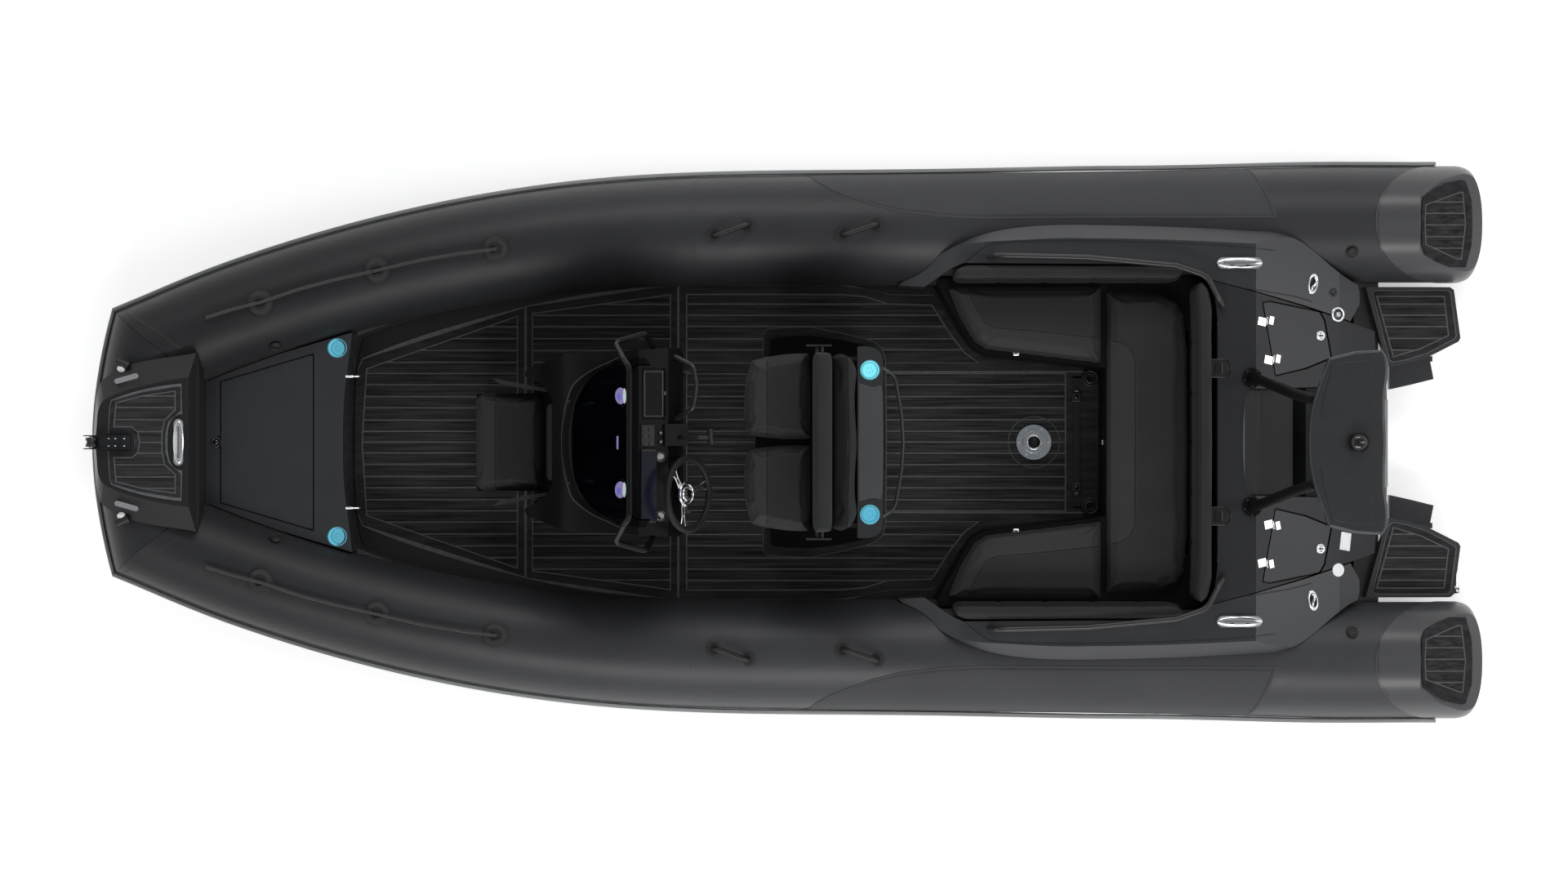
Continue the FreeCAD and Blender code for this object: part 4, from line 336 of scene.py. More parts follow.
# ------------------------------------------------------------------ mesh makers
class Shape:
    """Faces gathered into one object."""

    def __init__(self):
        self.v = []
        self.f = []
        self.m = []
        self.s = []

    def add(self, verts, faces, m=0, smooth=False):
        k = len(self.v)
        self.v += [tuple(p) for p in verts]
        self.f += [tuple(i + k for i in f) for f in faces]
        self.m += [m] * len(faces)
        self.s += [smooth] * len(faces)

    def slab(self, loops, up, m=0, inset=0.0):
        # loops of 3D points, the outline first and then holes, thickened by the vector `up`
        loops = [[Vector(p) for p in lp] for lp in loops]
        up = Vector(up)
        n = up.normalized()
        a = frame_at(Vector((0, 0, 0)), n, (1, 0, 0) if abs(n.x) < 0.9 else (0, 1, 0)).to_3x3().transposed()
        clean = []
        for lp in loops:
            q = [p for i, p in enumerate(lp) if (p - lp[i - 1]).length > 1e-6]
            area = 0.0
            f = [a @ p for p in q]
            for i in range(len(f)):
                area += f[i - 1].x * f[i].y - f[i].x * f[i - 1].y
            if (area < 0) == (len(clean) == 0):
                q.reverse()
            clean.append(q)
        flat2 = [[Vector(((a @ p).x, (a @ p).y, 0)) for p in lp] for lp in clean]
        tris = tessellate_polygon(flat2)
        allp = [p for lp in clean for p in lp]
        nv = len(allp)
        verts = allp + [p + up for p in allp]
        faces = []
        for t in tris:
            p, q, r = [a @ allp[i] for i in t]
            if (q - p).cross(r - p).z < 0:
                t = (t[0], t[2], t[1])
            faces.append(tuple(i + nv for i in t))
            faces.append((t[2], t[1], t[0]))
        k = 0
        for lp in clean:
            c = len(lp)
            for i in range(c):
                j = (i + 1) % c
                faces.append((k + i, k + j, k + j + nv, k + i + nv))
            k += c
        self.add(verts, faces, m)

    def plate(self, loops, z0, z1, m=0):
        ls = []
        for lp in loops:
            ls.append([Vector((P(x, y, z1).x, P(x, y, z1).y, z0 / 1000.0)) for x, y in lp])
        self.slab(ls, (0, 0, (z1 - z0) / 1000.0), m)

    def lathe(self, mtx, prof, m=0, seg=40, smooth=True, close=True):
        verts, faces = [], []
        for r, z in prof:
            for i in range(seg):
                t = 2 * math.pi * i / seg
                verts.append(mtx @ Vector((r * math.cos(t), r * math.sin(t), z)))
        for j in range(len(prof) - 1):
            for i in range(seg):
                a, b = j * seg + i, j * seg + (i + 1) % seg
                faces.append((a, b, b + seg, a + seg))
        if close:
            faces.append(tuple(reversed(range(seg))))
            faces.append(tuple(range((len(prof) - 1) * seg, len(prof) * seg)))
        self.add(verts, faces, m, smooth)

    def block(self, mtx, sx, sy, sz, r=0.002, m=0, seg=2, taper=1.0):
        bm = bmesh.new()
        bmesh.ops.create_cube(bm, size=1.0)
        for v in bm.verts:
            k = taper if v.co.z > 0 else 1.0
            v.co = Vector((v.co.x * sx * k, v.co.y * sy * k, (v.co.z + 0.5) * sz))
        bmesh.ops.bevel(bm, geom=list(bm.edges), offset=min(r, 0.45 * min(sx, sy, sz)), segments=seg, profile=0.5, affect="EDGES")
        bmesh.ops.recalc_face_normals(bm, faces=bm.faces)
        self.add([mtx @ v.co for v in bm.verts], [tuple(v.index for v in f.verts) for f in bm.faces], m)
        bm.free()

    def sweep(self, pts, sect, m=0, closed=False, up=(0, 0, 1), smooth=True):
        # a section of (side, up) offsets carried along 3D points
        pts = [Vector(p) for p in pts]
        c = len(pts)
        verts, faces = [], []
        for i, p in enumerate(pts):
            if closed:
                d = (pts[(i + 1) % c] - pts[i - 1]).normalized()
            else:
                d = (pts[min(c - 1, i + 1)] - pts[max(0, i - 1)]).normalized()
            u = Vector(up[i] if isinstance(up, list) else up)
            s = d.cross(u).normalized()
            w = s.cross(d).normalized()
            for a, b in sect:
                verts.append(p + s * a + w * b)
        k = len(sect)
        for i in range(c if closed else c - 1):
            j = (i + 1) % c
            for q in range(k):
                r = (q + 1) % k
                faces.append((i * k + q, i * k + r, j * k + r, j * k + q))
        if not closed:
            faces.append(tuple(reversed(range(k))))
            faces.append(tuple(range((c - 1) * k, c * k)))
        self.add(verts, faces, m, smooth)

    def make(self, name, mats, body="boat", bevel=0.0, slot=None, segs=2, angle=35):
        me = bpy.data.meshes.new(name)
        me.from_pydata(self.v, [], self.f)
        me.polygons.foreach_set("material_index", self.m)
        me.polygons.foreach_set("use_smooth", self.s)
        me.validate()
        bm = bmesh.new()
        bm.from_mesh(me)
        bmesh.ops.recalc_face_normals(bm, faces=bm.faces)
        bm.to_mesh(me)
        bm.free()
        o = bpy.data.objects.new(name, me)
        scene.collection.objects.link(o)
        for m in mats:
            me.materials.append(m)
        if bevel:
            b = o.modifiers.new("edges", "BEVEL")
            b.width = bevel
            b.segments = segs
            b.limit_method = "ANGLE"
            b.angle_limit = math.radians(angle)
            b.harden_normals = False
        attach(o, body)
        return o


def ring_sect(r, k=12, rz=None):
    rz = rz or r
    return [(r * math.cos(2 * math.pi * i / k), rz * math.sin(2 * math.pi * i / k)) for i in range(k)]


def smooth_path(pts, n=8, closed=False):
    # a Catmull-Rom line through the points
    pts = [Vector(p) for p in pts]
    c = len(pts)
    out = []
    last = c if closed else c - 1
    for i in range(last):
        if closed:
            p0, p1, p2, p3 = pts[i - 1], pts[i], pts[(i + 1) % c], pts[(i + 2) % c]
        else:
            p0, p1, p2, p3 = pts[max(0, i - 1)], pts[i], pts[i + 1], pts[min(c - 1, i + 2)]
        for j in range(n):
            t = j / n
            out.append(0.5 * ((2 * p1) + (p2 - p0) * t + (2 * p0 - 5 * p1 + 4 * p2 - p3) * t * t + (3 * p1 - p0 - 3 * p2 + p3) * t ** 3))
    if not closed:
        out.append(pts[-1])
    return out


def clip_y(poly, y0, y1):
    # the part of a polygon between two heights
    for lim, sg in ((y0, 1.0), (y1, -1.0)):
        out = []
        for i in range(len(poly)):
            a, b = poly[i - 1], poly[i]
            da, db = (a[1] - lim) * sg, (b[1] - lim) * sg
            if (da >= 0) != (db >= 0):
                t = da / (da - db)
                out.append((a[0] + t * (b[0] - a[0]), lim))
            if db >= 0:
                out.append(b)
        poly = out
        if not poly:
            return []
    return poly


def area2(poly):
    return sum(poly[i - 1][0] * poly[i][1] - poly[i][0] * poly[i - 1][1] for i in range(len(poly))) / 2.0


def grow(poly, d):
    # a polygon pushed outward by d (inward if negative)
    c = len(poly)
    sg = 1.0 if area2(poly) > 0 else -1.0
    out = []
    for i in range(c):
        a, b, e = Vector(poly[i - 1]), Vector(poly[i]), Vector(poly[(i + 1) % c])
        u = (b - a)
        w = (e - b)
        if u.length < 1e-6 or w.length < 1e-6:
            continue
        u.normalize()
        w.normalize()
        nu = Vector((u.y, -u.x)) * sg
        nw = Vector((w.y, -w.x)) * sg
        k = nu + nw
        if k.length < 1e-6:
            k = nu
        k = k / max(0.35, (1 + nu.dot(nw)))
        out.append((b.x + k.x * d, b.y + k.y * d))
    return out


# ------------------------------------------------------------------ carried-over nodes
plain = {
    "hull": "hull", "deck": "deck", "deck_pads": "caulk", "step_pads": "caulk", "bow_pad": "caulk", "tube_port": "tube", "tube_starboard": "tube",
    "tube_bow": "tube", "tube_cap_port": "cap", "tube_cap_starboard": "cap", "rubbing_strake": "strake", "tube_patches": "patch",
    "tube_handles": "patch", "lifelines": "rope", "bow_platform": "nose", "anchor_bracket": "steel_dark", "anchor_roller": "patch",
    "cleats": "steel", "nav_lights": "dark", "bow_locker": "mould", "bow_locker_lid": "mould", "console": "console", "side_blades": "dark",
    # the grab handle, helm rail and side rails take the lighter grey as painted highlight
    "windshield": "glass", "windshield_rail": "rail", "glovebox_lid": "console", "grab_handle": "grey_trim_and_highlight", "steering_wheel": "rail",
    "throttle": "dark", "helm_seat_base": "console", "helm_shelf": "wing", "helm_rail": "grey_trim_and_highlight", "bench_base": "console",
    "coaming_port": "mould", "coaming_starboard": "mould", "side_rails": "grey_trim_and_highlight", "stern_deck": "stern", "stern_lid_port": "lid",
    "stern_lid_starboard": "lid", "splash_well": "wing", "platform_port": "mould", "platform_starboard": "mould", "boarding_ladder": "steel",
    "arch_legs": "rail", "arch_wing": "wing", "anchor_light": "dark", "table_socket": "brushed", "post_sockets": "dark",
    "console_seat": "vinyl", "console_backrest": "vinyl2", "bolster_port": "vinyl", "bolster_starboard": "vinyl", "helm_backrest": "vinyl",
    "helm_back_cover": "vinyl", "bench_lid_port": "vinyl", "bench_lid_starboard": "vinyl", "bench_lid_aft": "vinyl", "backrest_port": "vinyl2",
    "backrest_starboard": "vinyl2", "backrest_aft": "vinyl2"}
for name, key in plain.items():
    give(N[name], G[key])

# ------------------------------------------------------------------ camera, floor and light
cam_data = bpy.data.cameras.new("camera")
cam = bpy.data.objects.new("camera", cam_data)
scene.collection.objects.link(cam)
cam.location = CAM
cam.rotation_euler = (0, 0, math.pi)
cam_data.sensor_width = 36.0
cam_data.lens = 36.0 * 16.3 / (1920.0 * K(0))
cam_data.clip_end = 200.0
scene.camera = cam

floor_me = bpy.data.meshes.new("floor")
floor_me.from_pydata([(-60, -60, 0), (60, -60, 0), (60, 60, 0), (-60, 60, 0)], [], [(0, 1, 2, 3)])
floor = bpy.data.objects.new("floor", floor_me)
scene.collection.objects.link(floor)
fm = mat("floor_white", (0.90, 0.90, 0.90), 0.85, 0.1, vary=0.004, vscale=0.5, emit=(1, 1, 1), estr=0.42)
floor_me.materials.append(fm)

world = bpy.data.worlds.new("studio")
scene.world = world
world.use_nodes = True
wn, wl = world.node_tree.nodes, world.node_tree.links
bg = wn["Background"]
tcw = wn.new("ShaderNodeTexCoord")
sep = wn.new("ShaderNodeSeparateXYZ")
rampw = wn.new("ShaderNodeValToRGB")
wl.new(tcw.outputs["Generated"], sep.inputs[0])
wl.new(sep.outputs["Z"], rampw.inputs["Fac"])
rampw.color_ramp.elements[0].position = 0.0
rampw.color_ramp.elements[0].color = (1.0, 1.0, 1.0, 1)
rampw.color_ramp.elements[1].position = 1.0
rampw.color_ramp.elements[1].color = (0.30, 0.30, 0.31, 1)
e = rampw.color_ramp.elements.new(0.45)
e.color = (0.80, 0.81, 0.83, 1)
e = rampw.color_ramp.elements.new(0.80)
e.color = (0.40, 0.40, 0.41, 1)
wl.new(rampw.outputs["Color"], bg.inputs["Color"])
bg.inputs["Strength"].default_value = 0.9


def area(name, loc, target, sx, sy, power, col=(1, 1, 1)):
    d = bpy.data.lights.new(name, "AREA")
    d.shape = "RECTANGLE"
    d.size = sx
    d.size_y = sy
    d.energy = power
    d.color = col
    o = bpy.data.objects.new(name, d)
    scene.collection.objects.link(o)
    o.location = loc
    o.rotation_euler = (Vector(target) - Vector(loc)).to_track_quat("-Z", "Y").to_euler()
    o.visible_camera = False
    return o


area("soft_port", (-1.0, 9.0, 9.0), (-1.0, 0, 0.3), 10, 3.0, 680)
area("soft_starboard", (-1.0, -9.5, 9.0), (-1.0, 0, 0.3), 10, 3.0, 440)
area("soft_aft", (-10.0, 0.0, 10.0), (-1.5, 0, 0.4), 3.0, 8.0, 260)
area("soft_bow", (9.5, 0.0, 10.0), (1.5, 0, 0.4), 3.0, 8.0, 25)
scene.view_settings.view_transform = "Standard"
scene.view_settings.look = "None"

# ------------------------------------------------------------------ foam decking
LINES = [400.2, 414.7, 429.2, 443.8, 457.5, 471.2, 485.8, 499.5, 514.6, 528.3, 541.5, 554.7, 568.4, 583.5, 597.2, 611.8, 625.5, 639.2, 653.8, 668.3, 682.8]
LW = 0.85


def planks(shape, inner, lines, z0, z1, m=0, lw=LW):
    ys = [p[1] for p in inner]
    cuts = [min(ys) - 10] + sorted(lines) + [max(ys) + 10]
    poly = grow(inner, -lw)
    for a, b in zip(cuts[:-1], cuts[1:]):
        q = clip_y(poly, a + lw, b - lw)
        if len(q) >= 3 and abs(area2(q)) > 4.0:
            shape.plate([q], z0, z1, m)


deck_planks = Shape()
Z0, Z1 = 65.6, 67.8
in1 = both([(443.5, 541.5), (449, 452), (633.5, 387.3), (633.5, 541.5)])
out1 = both([(433.6, 541.5), (436.5, 470), (438.6, 452.6), (443.9, 439.6), (642.6, 376.2), (642.6, 541.5)])
planks(deck_planks, in1, LINES, Z0, Z1)
deck_planks.plate([grow(out1, -LW * 0.8), grow(in1, LW)], Z0, Z1, 1)
in2 = both([(652, 541.5), (652, 384), (821, 361), (821, 541.5)])
out2 = both([(644.4, 541.5), (644.4, 375.4), (801.6, 351.7), (829.8, 349.8), (829.8, 541.5)])
planks(deck_planks, in2, LINES + [372.7, 386.2, 710.3, 696.8], Z0, Z1)
deck_planks.plate([grow(out2, -LW * 0.8), grow(in2, LW)], Z0, Z1, 1)
for mm in (lambda q: q, M):
    in3 = mm([(840.8, 360.6), (1027.7, 360.6), (1058.8, 363.4), (1088, 372.4), (1141, 373.8), (1163.5, 409.4), (1181, 432), (1198.5, 444.4), (840.8, 444.4)])
    out3 = mm([(831.6, 349.6), (1027.7, 349.6), (1060, 353.5), (1090, 361), (1143.5, 361.8), (1171, 403), (1189.5, 427.5), (1206, 436.5), (1332, 450.6), (1332, 454.9), (831.6, 454.9)])
    planks(deck_planks, in3, [y for _, y in mm([(0, y) for y in (372.4, 386.2, 399.7, 415, 428.5)])], Z0, Z1)
    deck_planks.plate([grow(out3, -LW * 0.6), grow(in3, LW)], Z0, Z1, 1)
in4 = [(840.8, 457.5), (1304.6, 457.5), (1304.6, 625.5), (840.8, 625.5)]
out4 = [(831.6, 456.2), (1345.5, 456.2), (1345.5, 626.8), (831.6, 626.8)]
planks(deck_planks, in4, [471, 485.6, 499.4, 514, 528, 541.5, 555, 569, 583.6, 597.4, 612], Z0, Z1)
deck_planks.plate([grow(out4, -0.3), grow(in4, LW)], Z0, Z1, 1)
deck_planks.make("deck_planks", [G["plank"], G["plank2"]], bevel=0.0006, segs=1, slot="foam_decking")

bow_planks = Shape()
bin_ = both([(170.8, 541.5), (168.7, 528.7), (161.5, 522.6), (139.5, 522.6), (142, 493.3), (174.9, 484.6), (214.4, 479), (214.4, 502), (201.5, 514.4), (198.5, 528.7), (198.2, 541.5)])
bout = both([(164.8, 541.5), (164.3, 536.6), (161, 531.4), (132.6, 531.4), (134.5, 498), (136.6, 490.4), (172, 480.5), (214, 473.5), (221.5, 473.2), (221.5, 503), (206, 517), (203, 530), (202.6, 541.5)])
planks(bow_planks, bin_, [485.1, 499, 513.8, 528.2, 541.5, 554.8, 569.2, 584, 597.9], 805.8, 807.6, lw=0.8)
bow_planks.plate([grow(bout, -0.3), grow(bin_, 0.8)], 805.8, 807.6, 1)
bow_planks.make("bow_planks", [G["plank"], G["plank2"]], bevel=0.0006, segs=1, slot="foam_decking")

# stern platforms
plat = Shape()
for mm in (lambda q: q, M):
    pin = mm([(1686, 363), (1768.4, 363), (1773.8, 410.8), (1739.5, 427), (1706.3, 437)])
    pout = mm([(1681, 358.8), (1684, 356), (1772.6, 356), (1776, 359.6), (1782.8, 411), (1781, 414.4), (1747.6, 432.2), (1724, 439.8), (1706.3, 443), (1702, 441), (1698, 427)])
    planks(plat, pin, [y for _, y in mm([(0, y) for y in (372.5, 386, 400, 414.4, 428.8)])], 267.8, 269.4, lw=0.8)
    plat.plate([grow(pout, -0.3), grow(pin, 0.8)], 267.8, 269.4, 1)
plat.make("platform_planks", [G["plank"], G["plank2"]], bevel=0.0006, segs=1, slot="foam_decking")

# pads on the stern caps, on a plane that falls aft
CP0, CP1 = Vector((-2.944, 0, 0.5133)), Vector((-3.325, 0, 0.3673))
CPN = Vector((-(CP1.z - CP0.z), 0, (CP1.x - CP0.x)))
CPN = CPN.normalized() if CPN.z > 0 else (-CPN).normalized()
capp = Shape()


def capplate(loops, m=0):
    ls = [[on_plane(x, y, CP0, CPN) - CPN * 0.0004 for x, y in lp] for lp in loops]
    capp.slab(ls, CPN * 0.0018, m)


for mm in (lambda q: q, M):
    cin = mm([(1739, 249.5), (1788, 232.5), (1791.5, 232.5), (1795, 274), (1790, 319), (1783.6, 318.7), (1739, 300.5), (1737, 274)])
    cout = mm([(1742.5, 241.5), (1757, 230.2), (1769, 223.8), (1789.6, 219.8), (1795, 221.8), (1802.2, 245), (1803.2, 274), (1802.2, 300), (1795, 327.7), (1774, 327.5), (1758.5, 321), (1744.6, 311.6), (1741, 300), (1739.4, 274)])
    cin = mm([(1746, 251), (1787.5, 235.5), (1791.3, 235.5), (1794.5, 274), (1789.5, 317), (1783.6, 316.7), (1746, 299.5), (1745, 274)])
    ys = [y for _, y in mm([(0, y) for y in (247.3, 261.2, 275.6, 289.8, 303.9)])]
    polys = []
    pts = grow(cin, -0.8)
    cuts = [min(p[1] for p in pts) - 9] + sorted(ys) + [max(p[1] for p in pts) + 9]
    for a, b in zip(cuts[:-1], cuts[1:]):
        q = clip_y(pts, a + 0.8, b - 0.8)
        if len(q) >= 3 and abs(area2(q)) > 3:
            capplate([q], 0)
    capplate([grow(cout, -0.3), grow(cin, 0.8)], 1)
capp.make("cap_planks", [G["plank"], G["plank2"]], bevel=0.0005, segs=1, slot="foam_decking")

# ------------------------------------------------------------------ padded pieces
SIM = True


def mesh_np(me):
    a = np.empty(len(me.vertices) * 3)
    me.vertices.foreach_get("co", a)
    return a.reshape(-1, 3)


def pad(node, key, vox=0.009, cap=0.010, inset=0.004, seams=(), depth=0.0035, width=0.010, pin="low", body=None, piping=(), rolls=()):
    """The CAD cushion remeshed, puffed up under air pressure in a cloth simulation, then sewn along its seams."""
    src = N[node]
    bm = bmesh.new()
    bm.from_mesh(src.data)
    bmesh.ops.remove_doubles(bm, verts=bm.verts, dist=0.00005)
    me = bpy.data.meshes.new(node + "_pad")
    bm.to_mesh(me)
    bm.free()
    o = bpy.data.objects.new(node + "_pad", me)
    scene.collection.objects.link(o)
    r = o.modifiers.new("remesh", "REMESH")
    r.mode = "VOXEL"
    r.voxel_size = vox
    r.adaptivity = 0.0
    dg = bpy.context.evaluated_depsgraph_get()
    me2 = bpy.data.meshes.new_from_object(o.evaluated_get(dg))
    o.modifiers.clear()
    o.data = me2
    me2.name = node + "_pad"
    base = mesh_np(me2)
    lo, hi = base.min(0), base.max(0)
    nor = np.empty(len(me2.vertices) * 3)
    me2.vertices.foreach_get("normal", nor)
    nor = nor.reshape(-1, 3)
    if SIM:
        small = base - nor * inset
        me2.vertices.foreach_set("co", small.reshape(-1))
        vg = o.vertex_groups.new(name="pin")
        if pin == "low":
            ids = np.nonzero(base[:, 2] < lo[2] + vox * 1.1)[0]
        elif pin == "aft":
            ids = np.nonzero(base[:, 0] < lo[0] + vox * 1.1)[0]
        elif pin == "fore":
            ids = np.nonzero(base[:, 0] > hi[0] - vox * 1.1)[0]
        else:
            ids = np.nonzero(base[:, 2] < lo[2] + vox * 0.5)[0]
        vg.add([int(i) for i in ids], 1.0, "REPLACE")
        c = o.modifiers.new("cloth", "CLOTH")
        st = c.settings
        st.quality = 4
        st.mass = 0.4
        st.tension_stiffness = 12
        st.compression_stiffness = 12
        st.shear_stiffness = 6
        st.bending_stiffness = 1.2
        st.tension_damping = 8
        st.use_pressure = True
        st.uniform_pressure_force = 4.0
        st.effector_weights.gravity = 0.0
        st.vertex_group_mass = "pin"
        c.point_cache.frame_start = 1
        c.point_cache.frame_end = 20
        for f in range(1, 17):
            scene.frame_set(f)
        dg = bpy.context.evaluated_depsgraph_get()
        ev = o.evaluated_get(dg).to_mesh()
        out = mesh_np(ev)
        o.evaluated_get(dg).to_mesh_clear()
        o.modifiers.clear()
        o.vertex_groups.clear()
        scene.frame_set(1)
        d = out - small
        ln = np.linalg.norm(d, axis=1, keepdims=True)
        d = np.where(ln > cap, d * (cap / np.maximum(ln, 1e-9)), d)
        co = small + d
    else:
        co = base - nor * inset * 0.5
    # sewn seams: the surface dips beside each line
    for seam in seams:
        ax, pts = seam[0], seam[1]
        i, j = {"z": (0, 1), "x": (1, 2), "y": (0, 2)}[ax]
        k = 3 - i - j
        face = nor[:, k] * (seam[2] if len(seam) > 2 else 1.0)
        q = co[:, [i, j]]
        best = np.full(len(q), 9.0)
        for a, b in zip(pts[:-1], pts[1:]):
            a, b = np.array(a), np.array(b)
            ab = b - a
            t = np.clip(((q - a) @ ab) / max(1e-12, ab @ ab), 0, 1)
            dd = np.linalg.norm(q - (a + t[:, None] * ab), axis=1)
            best = np.minimum(best, dd)
        w = np.exp(-(best / width) ** 2) * np.clip(face * 1.6, 0, 1)
        co = co - nor * (depth * w)[:, None]
    # never outside the CAD solid's own box by more than a little
    co = np.clip(co, lo - 0.004, hi + 0.006)
    me2.vertices.foreach_set("co", co.reshape(-1))
    me2.update()
    sm = o.modifiers.new("smooth", "SMOOTH")
    sm.factor = 0.5
    sm.iterations = 2
    me2.materials.clear()
    keys = key if isinstance(key, (list, tuple)) else [key]
    for q in keys:
        me2.materials.append(G[q])
    me2.polygons.foreach_set("use_smooth", [True] * len(me2.polygons))
    if rolls:
        cen = np.empty(len(me2.polygons) * 3)
        me2.polygons.foreach_get("center", cen)
        cen = cen.reshape(-1, 3)
        idx = np.zeros(len(cen), dtype=np.int32)
        for test in rolls:
            idx[test(cen)] = 1
        me2.polygons.foreach_set("material_index", idx)
    dg = bpy.context.evaluated_depsgraph_get()
    fin = bpy.data.meshes.new_from_object(o.evaluated_get(dg))
    o.modifiers.clear()
    o.data = fin
    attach(o, body or "boat")
    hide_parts(node)
    fin_tree = BVHTree.FromPolygons([v.co.copy() for v in fin.vertices], [tuple(p.vertices) for p in fin.polygons])
    return o, fin_tree


def along(pts, step):
    pts = [Vector(p) for p in pts]
    out = []
    for a, b in zip(pts[:-1], pts[1:]):
        n = max(1, int((b - a).length / step))
        for i in range(n):
            out.append(a + (b - a) * (i / n))
    out.append(pts[-1])
    return out


def seam_line(name, tree_, pts3, direction, body, r=0.0016, stitch=True, off=0.006, sides=(1, -1)):
    """A sewn line laid on a pad: a thin cord in the valley and a row of stitches on each side of it."""
    d = Vector(direction).normalized()
    line = []
    for p in along(pts3, 0.012):
        loc, nor, idx, dist = tree_.ray_cast(p - d * 0.25, d)
        if loc is not None:
            line.append((loc, nor if nor.dot(d) < 0 else -nor))
    if len(line) < 3:
        return None
    sh = Shape()
    sh.sweep([p + n * (r * 0.2) for p, n in line], ring_sect(r, 6), 0, up=[tuple(n) for _, n in line])
    if stitch:
        for i in range(len(line) - 1):
            (a, na), (b, nb) = line[i], line[i + 1]
            t = (b - a)
            if t.length < 1e-5 or t.length > 0.05:
                continue
            t.normalize()
            s = t.cross(na).normalized()
            mid = (a + b) / 2
            for sg in sides:
                q = mid + s * off * sg
                loc, nor, idx, dist = tree_.ray_cast(q - d * 0.1, d)
                if loc is None or (loc - q).length > 0.03:
                    continue
                nn = nor if nor.dot(d) < 0 else -nor
                fr = frame_at(loc + nn * 0.0001, nn, t)
                sh.block(fr, 0.0068, 0.0016, 0.0011, 0.0004, 1, 1)
    return sh.make(name, [G["piping"], G["thread"]], body, slot="upholstery")


def XY(px, py, z):
    p = P(px, py, z)
    return (p.x, p.y)


def seam3(pts, z):
    return [P(x, y, z) for x, y in pts]


# console front seat
s1 = [(606, 479), (606, 604)]
o, t = pad("console_seat", ["vinyl2", "vinyl"], 0.008, 0.010, 0.005, seams=[("z", [XY(*p, 560) for p in s1])], body="console_seat",
           rolls=[lambda c: c[:, 0] > XY(606, 541, 560)[0]])
seam_line("console_seat_seam", t, seam3([(606, 484), (606, 599)], 560), (0, 0, -1), "console_seat")
pad("console_backrest", "vinyl2", 0.006, 0.005, 0.002, pin="aft")
# helm bolsters
for side, mm in (("starboard", lambda q: q), ("port", M)):
    sl = mm([(939, 437), (939, 536)])
    o, t = pad("bolster_" + side, ["vinyl", "vinyl3"], 0.008, 0.012, 0.005, seams=[("z", [XY(*p, 904) for p in sl])], body="bolster_" + side,
               rolls=[lambda c: c[:, 0] > XY(939, 541, 904)[0]])
    seam_line("bolster_seam_" + side, t, seam3(mm([(939, 441), (939, 534)]), 904), (0, 0, -1), "bolster_" + side)
o, t = pad("helm_backrest", ["vinyl2", "vinyl"], 0.009, 0.008, 0.005, pin="low",
           seams=[("z", [XY(996.5, 437, 1205), XY(996.5, 646, 1205)]), ("z", [XY(1012.5, 437, 1205), XY(1012.5, 646, 1205)]),
                  ("x", [(-0.40, 1.10), (0.40, 1.10)]), ("x", [(-0.40, 0.93), (0.40, 0.93)])],
           rolls=[lambda c: c[:, 2] > 1.16])
seam_line("helm_backrest_seam_a", t, [Vector((-0.13, -0.37, 1.10)), Vector((-0.13, 0.37, 1.10))], (-1, 0, 0), "boat")
seam_line("helm_backrest_seam_b", t, [Vector((-0.13, -0.37, 0.93)), Vector((-0.13, 0.37, 0.93))], (-1, 0, 0), "boat")
o, t = pad("helm_back_cover", ["vinyl4", "vinyl"], 0.008, 0.007, 0.004, pin="low",
           seams=[("z", [XY(1038, 441, 998), XY(1040, 541.5, 998), XY(1038, 642, 998)])], rolls=[lambda c: (c[:, 0] < XY(1038.5, 0, 998)[0])])
seam_line("helm_cover_seam", t, seam3([(1038, 445), (1040, 541.5), (1038, 638)], 998), (0, 0, -1), "boat")
# bench seats
SB = [(1187, 351), (1190, 366), (1200, 384), (1214, 400), (1266, 405.5), (1349, 414.5)]
for side, mm in (("starboard", lambda q: q), ("port", M)):
    sb = mm(SB)
    line = np.array([XY(*p, 485) for p in sb])

    def in_roll(c, line=line, sgn=(-1 if side == "starboard" else 1)):
        # the side of the seam that faces the cockpit
        xs = line[:, 0][::-1]
        ys = (line[:, 1] * sgn)[::-1]
        lim = np.interp(c[:, 0], xs, ys)
        return (c[:, 1] * sgn < lim) | (c[:, 0] > xs[-1])

    o, t = pad("bench_lid_" + side, ["vinyl", "vinyl3"], 0.009, 0.012, 0.005, seams=[("z", [tuple(p) for p in line])], body="bench_lid_" + side, rolls=[in_roll])
    seam_line("bench_seam_" + side, t, seam3([(v.x, v.y) for v in smooth_path([Vector((x, y, 0)) for x, y in sb], 4)], 485), (0, 0, -1), "bench_lid_" + side)
SA = [(1356.5, 416.5), (1371, 419), (1382, 426), (1388, 436), (1389.5, 450), (1390, 541.5), (1389.5, 633), (1388, 647), (1382, 657), (1371, 664), (1356.5, 666.5)]
lineA = np.array([XY(*p, 485) for p in SA])
o, t = pad("bench_lid_aft", ["vinyl", "vinyl3"], 0.010, 0.013, 0.005, seams=[("z", [tuple(p) for p in lineA])], body="bench_lid_aft",
           rolls=[lambda c: (c[:, 0] > np.interp(c[:, 1], lineA[:, 1], lineA[:, 0])) & (np.abs(c[:, 1]) < abs(lineA[0, 1]) + 0.002)])
seam_line("bench_seam_aft", t, seam3([(v.x, v.y) for v in smooth_path([Vector((x, y, 0)) for x, y in SA], 4)], 485), (0, 0, -1), "bench_lid_aft")
